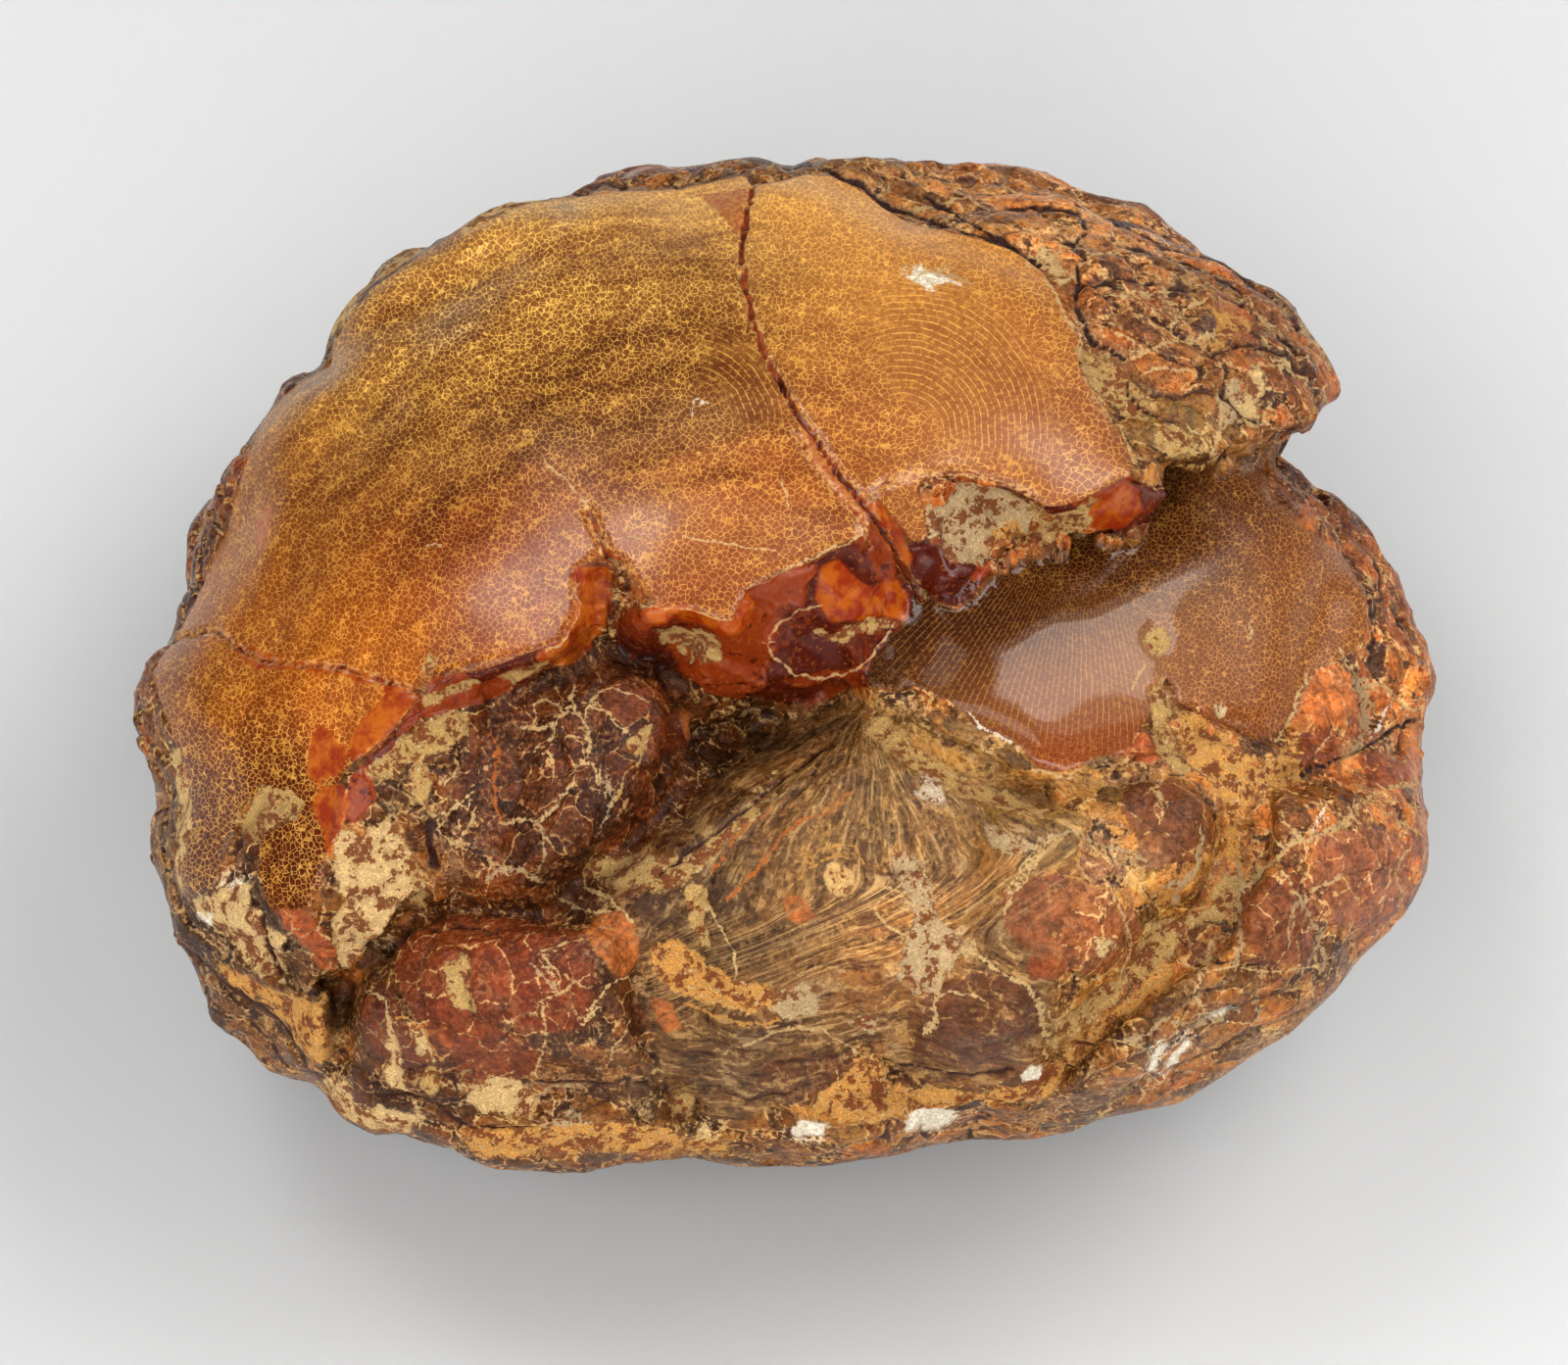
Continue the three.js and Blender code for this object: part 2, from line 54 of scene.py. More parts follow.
LOBES = [
    dict(name="lens", at=(1180, 650), depth=12.5, tilt=(-0.05, 0.02), rim=8, side=0.2,
         line=[[880,520],[1000,460],[1120,400],[1260,380],[1330,430],[1420,540],[1600,640],[1600,775],[1452,742],[1400,770],[1345,790],[1292,772],[1250,760],[1200,775],[1150,785],[1090,800],[1050,790],[1010,765],[955,745],[900,722],[870,690]]),
    dict(name="ridge", at=(980, 760), depth=17, tilt=(-0.02, 0.0), rim=5, side=0.4,
         line=[[890,705],[940,722],[985,742],[1030,765],[1075,785],[1085,808],[1048,818],[1000,806],[955,780],[905,750],[878,725]]),
    dict(name="swirl", at=(880, 930), depth=9.5, tilt=(0.03, -0.13), rim=16, side=0.6,
         line=[[862,722],[905,745],[955,775],[1010,805],[1060,815],[1110,830],[1090,900],[1075,990],[1075,1060],[1055,1092],[1000,1104],[940,1098],[903,1082],[880,1062],[850,1090],[815,1118],[760,1142],[705,1132],[682,1106],[668,1050],[655,990],[640,940],[618,900],[640,870],[700,830],[740,790],[790,745],[830,728]]),
    dict(name="ear", at=(1140, 860), depth=6.5, tilt=(0.03, -0.03), rim=9, side=0.35,
         line=[[1000,800],[1060,806],[1100,792],[1150,782],[1200,782],[1240,800],[1254,850],[1250,903],[1232,926],[1190,938],[1160,960],[1150,988],[1112,1012],[1100,1045],[1078,1070],[1040,1092],[980,1098],[925,1090],[905,1060],[940,985],[985,930],[985,860]]),
    dict(name="belt", at=(1330, 950), depth=2.0, tilt=(0, 0), rim=8, side=0.5,
         line=[[1275,770],[1330,796],[1392,784],[1455,750],[1700,760],[1700,1500],[1080,1500],[1085,1160],[1066,1108],[1106,1058],[1168,1000],[1236,952],[1272,890],[1278,830]]),
    dict(name="lower_left", at=(520, 1020), depth=5.5, tilt=(0, -0.05), rim=11, side=0.4,
         line=[[358,1010],[400,975],[440,940],[520,928],[600,918],[645,930],[662,965],[672,1020],[684,1080],[672,1108],[640,1118],[590,1112],[520,1108],[450,1118],[400,1112],[362,1082],[350,1045]]),
    dict(name="ledge", at=(650, 1165), depth=3.0, tilt=(0, 0), rim=7, side=0.45,
         line=[[325,1105],[380,1112],[460,1128],[560,1120],[660,1122],[740,1142],[815,1130],[870,1100],[930,1108],[1060,1104],[1090,1150],[1130,1400],[300,1400]]),
    dict(name="knob", at=(585, 790), depth=9.5, tilt=(-0.03, -0.02), rim=13, side=0.3,
         line=[[508,690],[560,650],[640,640],[690,672],[708,725],[700,772],[680,822],[648,866],[600,905],[545,928],[500,930],[478,912],[490,860],[504,800]]),
    dict(name="tooth", at=(468, 840), depth=8.5, tilt=(0, 0), rim=7, side=0.3,
         line=[[440,740],[500,740],[504,800],[496,870],[480,905],[450,916],[425,905],[420,860]]),
    dict(name="under_left", at=(260, 1020), depth=6, tilt=(0, 0), rim=6, side=0.3,
         line=[[100,880],[190,920],[290,985],[345,1000],[352,1030],[350,1080],[330,1108],[300,1300],[0,1300]]),
]
FLOOR = 12.0
DIP, DIP_WIDE = 3.5, 13.0
UNDER = 8.0
PITS = [  # depth, half width in mm, line
    (16.0, 7.0, [[640,700],[700,745],[770,745],[840,720]]),
    (9.0, 5.0, [[770,745],[700,810],[630,872],[585,905]]),
    (8.0, 3.5, [[345,1015],[420,935],[490,930],[560,935]]),
    (6.0, 2.5, [[346,1010],[352,1045],[345,1075]]),
    (5.0, 3.0, [[905,740],[960,775],[1020,808],[1060,818]]),
    (4.0, 3.5, [[1260,860],[1230,930],[1165,985],[1110,1045],[1075,1085]]),
    (4.0, 2.5, [[684,1112],[700,1128]]),
    (4.0, 2.5, [[1320,792],[1390,780],[1450,745]]),
]
CAP_THICK = [[440, 11.0], [560, 14.0], [640, 19.0], [900, 20.0], [960, 13.0], [1150, 11.0], [1350, 9.0]]
TROUGHS = [
    (2.2, 3.5, [[780,150],[835,195],[900,210],[960,236],[1010,250],[1058,270],[1088,310],[1112,352],[1130,395],[1160,440],[1190,478]]),
    (1.6, 3.0, [[320,380],[380,345],[440,310],[520,262]]),
    (1.6, 4.0, [[1380,560],[1350,610],[1330,680],[1320,740]]),
]
SWELLS = [[1.0,[0.11,0.05,0.07],0.4],[0.9,[-0.06,0.12,0.05],1.9],[0.8,[0.05,-0.08,0.14],3.1],[0.7,[0.17,0.11,-0.04],4.4],[0.7,[-0.13,0.06,0.16],0.9],[0.6,[0.09,0.19,0.1],5.2],[0.5,[0.21,-0.12,0.13],2.2],[0.5,[0.02,0.24,-0.17],3.7]]

SIN, COS = math.sin(VIEW_ELEVATION), math.cos(VIEW_ELEVATION)
HIGH = math.hypot(HALF_DEPTH * SIN, HALF_HEIGHT * COS)
SHEAR = (HALF_DEPTH ** 2 - HALF_HEIGHT ** 2) * SIN * COS / HIGH ** 2
THROUGH = HALF_DEPTH * HALF_HEIGHT / HIGH


def smoothstep(a, b, x):
    t = np.clip((x - a) / (b - a), 0, 1)
    return t * t * (3 - 2 * t)


def both(x, y, r):
    return np.where((x > -r) & (y > -r), np.hypot(x + r, y + r) - r, np.maximum(x, y))


def either(x, y, k):
    t = np.maximum(k - np.abs(x - y), 0) / k
    return np.minimum(x, y) - t * t * k / 4


class Raster:
    """A field over the drawing, looked up between its grid points."""
    STEP, U0, V0, NU, NV = 4.0, -240.0, -240.0, 521, 471

    def __init__(self, make):
        u = self.U0 + self.STEP * np.arange(self.NU)
        v = self.V0 + self.STEP * np.arange(self.NV)
        U, V = np.meshgrid(u, v)
        self.grid = make(U, V).astype(np.float32)

    def __call__(self, U, V):
        x = np.clip((U - self.U0) / self.STEP, 0, self.NU - 1.001)
        y = np.clip((V - self.V0) / self.STEP, 0, self.NV - 1.001)
        i, j = x.astype(int), y.astype(int)
        fx, fy = x - i, y - j
        g = self.grid
        return ((g[j, i] * (1 - fx) + g[j, i + 1] * fx) * (1 - fy)
                + (g[j + 1, i] * (1 - fx) + g[j + 1, i + 1] * fx) * fy)


def line_distance(U, V, line, closed=False):
    pts = [np.array(p, float) for p in line]
    if closed:
        pts = pts + [pts[0]]
    best = np.full(U.shape, 1e18)
    inside = np.zeros(U.shape, bool)
    for a, b in zip(pts[:-1], pts[1:]):
        dx, dy = b - a
        t = np.clip(((U - a[0]) * dx + (V - a[1]) * dy) / (dx * dx + dy * dy + 1e-12), 0, 1)
        best = np.minimum(best, (U - a[0] - t * dx) ** 2 + (V - a[1] - t * dy) ** 2)
        if closed:
            crosses = (a[1] > V) != (b[1] > V)
            with np.errstate(divide="ignore", invalid="ignore"):
                x = dx * (V - a[1]) / dy + a[0] if dy else np.zeros_like(U)
            inside ^= crosses & (U < x)
    best = np.sqrt(best) / PER_MM
    return np.where(inside, -best, best) if closed else best


def area(line):
    return Raster(lambda U, V: line_distance(U, V, line, True))


def stroke(line):
    return Raster(lambda U, V: line_distance(U, V, line))


def outline_radii():
    pts = [((u - OUT_U) / PER_MM, (OUT_V - v) / PER_MM) for u, v in OUTLINE]
    radii = []
    for i in range(360):
        c, s = math.cos(math.radians(i)), math.sin(math.radians(i))
        best = 0.0
        for (ax, ay), (bx, by) in zip(pts[-1:] + pts[:-1], pts):
            ex, ey = bx - ax, by - ay
            den = c * ey - s * ex
            if abs(den) < 1e-12:
                continue
            r, t = (ax * ey - ay * ex) / den, (ax * s - ay * c) / den
            if r > 0 and -1e-9 <= t <= 1 + 1e-9:
                best = max(best, r)
        radii.append(best)
    raw = np.array(radii)
    fine = (np.roll(raw, 1) + 2 * raw + np.roll(raw, -1)) / 4
    spread = np.arange(-30, 31)
    weight = np.exp(-(spread / 14.0) ** 2)
    even = sum(w * np.roll(raw, int(k)) for k, w in zip(spread, weight)) / weight.sum()
    return fine, even


RADII, EVEN = outline_radii()


def setup():
    global F
    F = dict(body=area(BODY), upper=area(UPPER_RIM), lower=area(LOWER_RIM))
    for lobe in LOBES:
        F[lobe["name"]] = area(lobe["line"])
    F["pits"] = Raster(lambda U, V: sum(d * np.exp(-(line_distance(U, V, l) / w) ** 2) for d, w, l in PITS))
    F["troughs"] = Raster(lambda U, V: sum(d * np.exp(-(line_distance(U, V, l) / w) ** 2) for d, w, l in TROUGHS))


def drawing(P):
    x, y, z = P[..., 0], P[..., 1], P[..., 2] - MIDDLE_Z
    up, near = y * SIN + z * COS, -y * COS + z * SIN
    grow = VIEW_DISTANCE / (VIEW_DISTANCE - near)
    return MID_U + x * grow * PER_MM, MID_V - up * grow * PER_MM, near + SHEAR * up


def lump(P, want=False):
    U, V, through = drawing(P)
    a, b = (U - OUT_U) / PER_MM, (OUT_V - V) / PER_MM
    t = np.degrees(np.arctan2(b, a)) % 360
    i = np.floor(t).astype(int) % 360
    t = t - np.floor(t)
    R = RADII[i] * (1 - t) + RADII[(i + 1) % 360] * t
    even = EVEN[i] * (1 - t) + EVEN[(i + 1) % 360] * t
    R = even + (R - even) * smoothstep(0.55, 0.97, np.hypot(a, b) / R)
    r, k = np.hypot(a, b) / R, np.abs(through) / THROUGH
    g = np.maximum((r ** SQUARED + k ** SQUARED) ** (1 / SQUARED), 1e-6)
    slope = np.hypot((r / g) ** (SQUARED - 1) / R, (k / g) ** (SQUARED - 1) / THROUGH)
    h = (g - 1) / slope
    front = smoothstep(-4, 10, through)
    wave = sum(amp * np.sin(q[0] * P[..., 0] + q[1] * P[..., 1] + q[2] * P[..., 2] + ph) for amp, q, ph in SWELLS)
    h = h - wave * (1 - 0.65 * front)
    rim_fade = 1 - np.minimum(r, 1) ** 4
    d1, d2, dbody = F["upper"](U, V), F["lower"](U, V), F["body"](U, V)
    floor = 4 + (FLOOR - 4) * smoothstep(-22, -6, d2) + F["pits"](U, V) + UNDER * smoothstep(0, -6, F["lens"](U, V))
    f = both(h + floor * rim_fade * front, dbody, 10)
    part_of = np.zeros(f.shape, int)
    for n, lobe in enumerate(LOBES):
        d = F[lobe["name"]](U, V)
        lie = (-lobe["depth"] * (0.2 + 0.8 * rim_fade)
               + (lobe["tilt"][0] * (U - lobe["at"][0]) + lobe["tilt"][1] * (lobe["at"][1] - V)) / PER_MM)
        if lobe["name"] == "lens":  # it sinks a little towards the hollow under the cap
            lie = lie - DIP * smoothstep(DIP_WIDE, -2, d2)
        part = both(h - lie, d + lobe["side"] * (lie - h), lobe["rim"])
        if lobe["name"] == "lens":
            part = both(part, dbody, 8)
        part = np.maximum(part, -(through + 6))
        part_of = np.where(part < f, n + 1, part_of)
        f = either(f, part, 2.2)
    thick = np.interp(U, [c[0] for c in CAP_THICK], [c[1] for c in CAP_THICK])
    s = np.clip(-h / thick, 0, 1.15)
    d = d1 + (d2 - d1) * s
    cap = both(h, 0.8 * d, 1.4)
    cap = np.maximum(cap, -(h + thick + 5 * smoothstep(-6, -20, d1)))
    cap = np.maximum(cap, -(through + 14))
    part_of = np.where(cap < f, 100, part_of)
    f = either(f, cap, 0.8)
    f = f + F["troughs"](U, V) * front
    return (f, U, V, through, h, part_of, d1, d2) if want else f

# ---- noise ---------------------------------------------------------------------------------------------------
def hashed(ix, iy, iz, seed):
    """Three even numbers from 0 to 1 for each point of a lattice."""
    n = (ix.astype(np.int64) * 73856093) ^ (iy.astype(np.int64) * 19349663) ^ (iz.astype(np.int64) * 83492791) ^ (seed * 2654435761)
    out = []
    for k in range(3):
        n = (n ^ (n >> 15)) * 2246822519 & 0xFFFFFFFF
        n = (n ^ (n >> 13)) * 3266489917 & 0xFFFFFFFF
        n = n ^ (n >> 16)
        out.append((n & 0xFFFFFF) / float(0xFFFFFF))
        n = n + 668265263
    return np.stack(out, -1)


def noise(P, seed=0):
    """Smooth noise from -1 to 1, one lump a unit."""
    base = np.floor(P)
    f = P - base
    w = f * f * f * (f * (f * 6 - 15) + 10)
    i = base.astype(np.int64)
    total = 0
    for dx in (0, 1):
        for dy in (0, 1):
            for dz in (0, 1):
                g = hashed(i[..., 0] + dx, i[..., 1] + dy, i[..., 2] + dz, seed) * 2 - 1
                d = g[..., 0] * (f[..., 0] - dx) + g[..., 1] * (f[..., 1] - dy) + g[..., 2] * (f[..., 2] - dz)
                wx = w[..., 0] if dx else 1 - w[..., 0]
                wy = w[..., 1] if dy else 1 - w[..., 1]
                wz = w[..., 2] if dz else 1 - w[..., 2]
                total = total + d * wx * wy * wz
    return np.clip(total * 1.5, -1, 1)


def fbm(P, octaves=4, seed=0, gain=0.5):
    total, amp, size = 0, 1.0, 0.0
    for k in range(octaves):
        total = total + amp * noise(P * (2.03 ** k), seed + 17 * k)
        size += amp
        amp *= gain
    return total / size


def cells(P, seed=0, jitter=1.0):
    """Nearest and second-nearest distances, edge distance and the nearest cell's numbers and centre."""
    base = np.floor(P).astype(np.int64)
    best = np.full(P.shape[:-1], 1e9)
    second = best.copy()
    near = np.zeros(P.shape)
    nums = np.zeros(P.shape)
    spots = []
    for dx in (-1, 0, 1):
        for dy in (-1, 0, 1):
            for dz in (-1, 0, 1):
                i = base + (dx, dy, dz)
                h = hashed(i[..., 0], i[..., 1], i[..., 2], seed)
                c = i + 0.5 + (h - 0.5) * jitter
                d = np.linalg.norm(c - P, axis=-1)
                closer = d < best
                second = np.where(closer, best, np.minimum(second, d))
                best = np.where(closer, d, best)
                near = np.where(closer[..., None], c, near)
                nums = np.where(closer[..., None], h, nums)
    return best, second - best, nums, near


# ---- mesh ----------------------------------------------------------------------------------------------------
def extract(f, lo, n, cell):
    """Surface nets with no edge shared by more than two faces: vertices in mm and quads."""
    nx, ny, nz = n
    value = np.empty((nx + 1, ny + 1, nz + 1))
    xs, ys = lo[0] + cell * np.arange(nx + 1), lo[1] + cell * np.arange(ny + 1)
    X, Y = np.meshgrid(xs, ys, indexing="ij")
    for k in range(nz + 1):
        value[:, :, k] = f(np.stack([X, Y, np.full_like(X, lo[2] + cell * k)], -1))
    corner = [(c & 1, (c >> 1) & 1, c >> 2) for c in range(8)]
    simple = np.zeros(256, bool)
    for code in range(256):
        ok = True
        for wanted in (0, 1):
            left = {c for c in range(8) if (code >> c & 1) == wanted}
            if left:
                stack = [left.pop()]
                while stack:
                    c = stack.pop()
                    for m in (1, 2, 4):
                        if c ^ m in left:
                            left.discard(c ^ m)
                            stack.append(c ^ m)
            ok &= not left
        for face in ((0, 1, 3, 2), (4, 5, 7, 6), (0, 1, 5, 4), (2, 3, 7, 6), (0, 2, 6, 4), (1, 3, 7, 5)):
            a, b, c, d = (code >> m & 1 for m in face)
            ok &= not (a == c and b == d and a != b)
        simple[code] = ok
    for _ in range(60):
        inside = value < 0
        code = np.zeros((nx, ny, nz), int)
        for c, (dx, dy, dz) in enumerate(corner):
            code |= inside[dx:nx + dx, dy:ny + dy, dz:nz + dz].astype(int) << c
        bad = np.argwhere(~simple[code])
        if not len(bad):
            break
        for i, j, k in bad:
            spots = [(i + dx, j + dy, k + dz) for dx, dy, dz in corner]
            spots = [s for s in spots if value[s] >= 0]
            if spots:
                value[min(spots, key=lambda s: value[s])] = -0.01
    mixed = (code != 0) & (code != 255)
    total = np.zeros((nx, ny, nz, 3))
    count = np.zeros((nx, ny, nz))
    for c in range(8):
        for m in range(3):
            if c >> m & 1:
                continue
            e = c | 1 << m
            (ax, ay, az), (bx, by, bz) = corner[c], corner[e]
            A = value[ax:nx + ax, ay:ny + ay, az:nz + az]
            B = value[bx:nx + bx, by:ny + by, bz:nz + bz]
            cut = (A < 0) != (B < 0)
            t = np.where(cut, A / np.where(cut, A - B, 1), 0)
            for q in range(3):
                total[..., q] += np.where(cut, (c >> q & 1) + (t if q == m else 0), 0)
            count += cut
    number = np.full((nx, ny, nz), -1)
    where = np.argwhere(mixed)
    number[mixed] = np.arange(len(where))
    V = np.array(lo) + cell * (where + total[mixed] / count[mixed][:, None])
    quads = []
    for m in range(3):
        s, t = np.eye(3, dtype=int)[(m + 1) % 3], np.eye(3, dtype=int)[(m + 2) % 3]
        step = np.eye(3, dtype=int)[m]
        A = value[1:nx, 1:ny, 1:nz]
        B = value[1 + step[0]:nx + step[0], 1 + step[1]:ny + step[1], 1 + step[2]:nz + step[2]]
        at = np.argwhere((A < 0) != (B < 0)) + 1
        outward = A[tuple((at - 1).T)] < 0
        q = np.stack([number[tuple((at - s - t).T)], number[tuple((at - t).T)], number[tuple(at.T)], number[tuple((at - s).T)]], 1)
        q[~outward] = q[~outward][:, ::-1]
        quads.append(q)
    return V, np.concatenate(quads)


def triangles(V, Q):
    gap = lambda a, b: np.linalg.norm(V[Q[:, a]] - V[Q[:, b]], axis=1)
    first = gap(0, 2) < gap(1, 3)
    return np.concatenate([Q[first][:, [0, 1, 2]], Q[first][:, [0, 2, 3]], Q[~first][:, [0, 1, 3]], Q[~first][:, [1, 2, 3]]])


def refine(V, T, marked):
    """Splits the marked triangles in four, and their neighbours so that no edge is left open."""
    E = np.sort(np.concatenate([T[:, [0, 1]], T[:, [1, 2]], T[:, [2, 0]]]), axis=1)
    uniq, back = np.unique(E, axis=0, return_inverse=True)
    back = back.reshape(3, -1).T
    split = np.zeros(len(uniq), bool)
    split[back[marked].reshape(-1)] = True
    mid = np.full(len(uniq), -1)
    mid[split] = len(V) + np.arange(split.sum())
    V = np.concatenate([V, (V[uniq[split][:, 0]] + V[uniq[split][:, 1]]) / 2])
    m = mid[back]
    n = (m >= 0).sum(1)
    out = [T[n == 0]]
    t, e = T[n == 3], m[n == 3]
    out += [np.stack([t[:, 0], e[:, 0], e[:, 2]], 1), np.stack([t[:, 1], e[:, 1], e[:, 0]], 1),
            np.stack([t[:, 2], e[:, 2], e[:, 1]], 1), e]
    for k in range(3):
        a, b, c = k, (k + 1) % 3, (k + 2) % 3
        pick = (n == 1) & (m[:, a] >= 0)
        t, e = T[pick], m[pick]
        out += [np.stack([t[:, a], e[:, a], t[:, c]], 1), np.stack([e[:, a], t[:, b], t[:, c]], 1)]
        pick = (n == 2) & (m[:, a] < 0)  # the edges b-c and c-a are split
        t, e = T[pick], m[pick]
        out += [np.stack([t[:, c], e[:, c], e[:, b]], 1), np.stack([t[:, a], t[:, b], e[:, b]], 1),
                np.stack([t[:, a], e[:, b], e[:, c]], 1)]
    return V, np.concatenate(out)


def gradient(P, e=0.25):
    g = np.stack([lump(P + d) - lump(P - d) for d in np.eye(3) * e], -1)
    return g / (2 * e)


def settle(P, times=2, most=0.8):
    for _ in range(times):
        g = gradient(P)
        step = lump(P) / np.maximum((g * g).sum(-1), 0.2)
        P = P - np.clip(step, -most, most)[:, None] * g
    return P

# ---- regions of the front, drawn as the outline is -----------------------------------------------------------
SKIN = [[158,690],[185,640],[203,590],[222,530],[245,480],[275,430],[310,395],[345,378],[352,345],[372,308],[400,282],[440,264],[480,238],[520,222],[580,208],[640,192],[700,186],[760,182],[768,196],[850,190],[900,210],[930,225],[985,240],[1040,258],[1062,275],[1078,300],[1090,322],[1103,350],[1100,372],[1112,395],[1125,418],[1145,445],[1152,462],[1155,478],[1146,488],[1128,499],[1102,511],[1075,520],[1064,515],[1055,504],[1040,500],[1020,492],[1000,486],[970,480],[945,484],[935,500],[944,520],[945,550],[932,552],[915,530],[896,508],[884,545],[850,563],[800,585],[762,600],[745,638],[702,624],[660,628],[672,612],[652,598],[640,585],[618,552],[612,560],[606,572],[585,580],[588,623],[576,652],[555,660],[500,682],[442,692],[428,714],[400,744],[375,768],[358,778],[345,800],[340,840],[330,890],[318,925],[275,928],[268,905],[262,868],[270,850],[300,838],[310,820],[290,808],[262,808],[245,835],[228,868],[222,905],[200,912],[188,900],[185,870],[190,840],[188,800],[178,760],[168,730]]
LENS_SKIN = [[885,705],[890,670],[905,600],[960,560],[1050,500],[1200,440],[1287,440],[1290,480],[1298,510],[1322,532],[1350,552],[1367,569],[1389,609],[1392,640],[1389,660],[1367,672],[1345,684],[1333,700],[1322,735],[1300,748],[1277,752],[1262,744],[1248,738],[1235,722],[1218,722],[1203,716],[1200,698],[1190,688],[1184,700],[1172,702],[1172,730],[1160,745],[1150,768],[1120,770],[1098,784],[1075,788],[1059,783],[1045,765],[1029,753],[1000,742],[985,728],[964,713],[930,700]]
RAW = [  # broken, clear faces
    [[640,622],[702,618],[748,634],[762,598],[800,580],[850,558],[888,540],[884,510],[893,500],[912,540],[950,600],[950,640],[935,672],[915,698],[868,702],[828,720],[790,714],[722,708],[698,690],[665,678],[628,668],[628,640]],
    [[925,560],[945,552],[962,560],[975,575],[995,575],[1005,585],[1000,600],[985,615],[972,620],[950,612],[935,590]],
    [[1062,515],[1075,520],[1102,510],[1146,485],[1160,490],[1180,500],[1205,495],[1205,512],[1180,528],[1150,543],[1120,545],[1108,530],[1100,522],[1070,532]],
    [[425,690],[500,672],[560,662],[562,684],[506,712],[445,732],[420,735]],
    [[360,790],[372,775],[405,745],[425,715],[440,690],[425,735],[400,765],[380,790],[385,815],[360,845],[350,830]],
]
GLOW = [  # thin edges that the light comes through
    [[585,578],[622,580],[622,625],[608,660],[590,680],[573,680],[545,676],[548,666],[576,652],[588,623]],
    [[886,511],[900,512],[920,540],[932,570],[928,584],[905,560],[890,535]],
    [[832,612],[838,580],[856,572],[872,590],[894,606],[897,628],[880,634],[866,628],[848,634],[840,624]],
    [[889,595],[915,590],[928,612],[925,634],[900,630]],
    [[657,620],[700,618],[745,636],[748,648],[710,640],[660,632]],
    [[748,634],[762,602],[770,610],[760,640],[745,655]],
    [[1108,520],[1150,492],[1162,500],[1165,520],[1150,535],[1125,542],[1112,540]],
    [[995,580],[1012,578],[1000,592],[992,595]],
    [[318,745],[330,740],[355,770],[345,790],[322,800],[312,790]],
    [[322,805],[350,800],[358,820],[345,850],[335,880],[330,850],[318,825]],
    [[230,655],[300,674],[345,676],[400,695],[428,712],[400,706],[345,688],[300,684],[255,680]],
    [[368,735],[400,702],[425,712],[395,750],[375,765],[360,775],[355,760]],
]
SLIVER = [[[813,440],[822,438],[840,458],[858,482],[876,505],[884,520],[886,540],[868,520],[846,498],[828,472]],
          [[712,195],[768,196],[762,240],[757,246],[733,215]],
          [[652,600],[668,606],[676,620],[660,628],[652,615]],
          [[255,530],[265,518],[276,510],[272,540],[260,570]]]
OLIVE, CREAM, OCHRE, GREY = (190, 154, 96), (216, 182, 128), (206, 152, 82), (190, 162, 122)
WHITE, RUST, ORANGE, PALE_RED = (240, 228, 206), (134, 62, 26), (192, 110, 50), (192, 98, 50)
PLUM, PAINTED_SHEEN, TAN = (88, 54, 36), (158, 104, 70), (192, 130, 72)
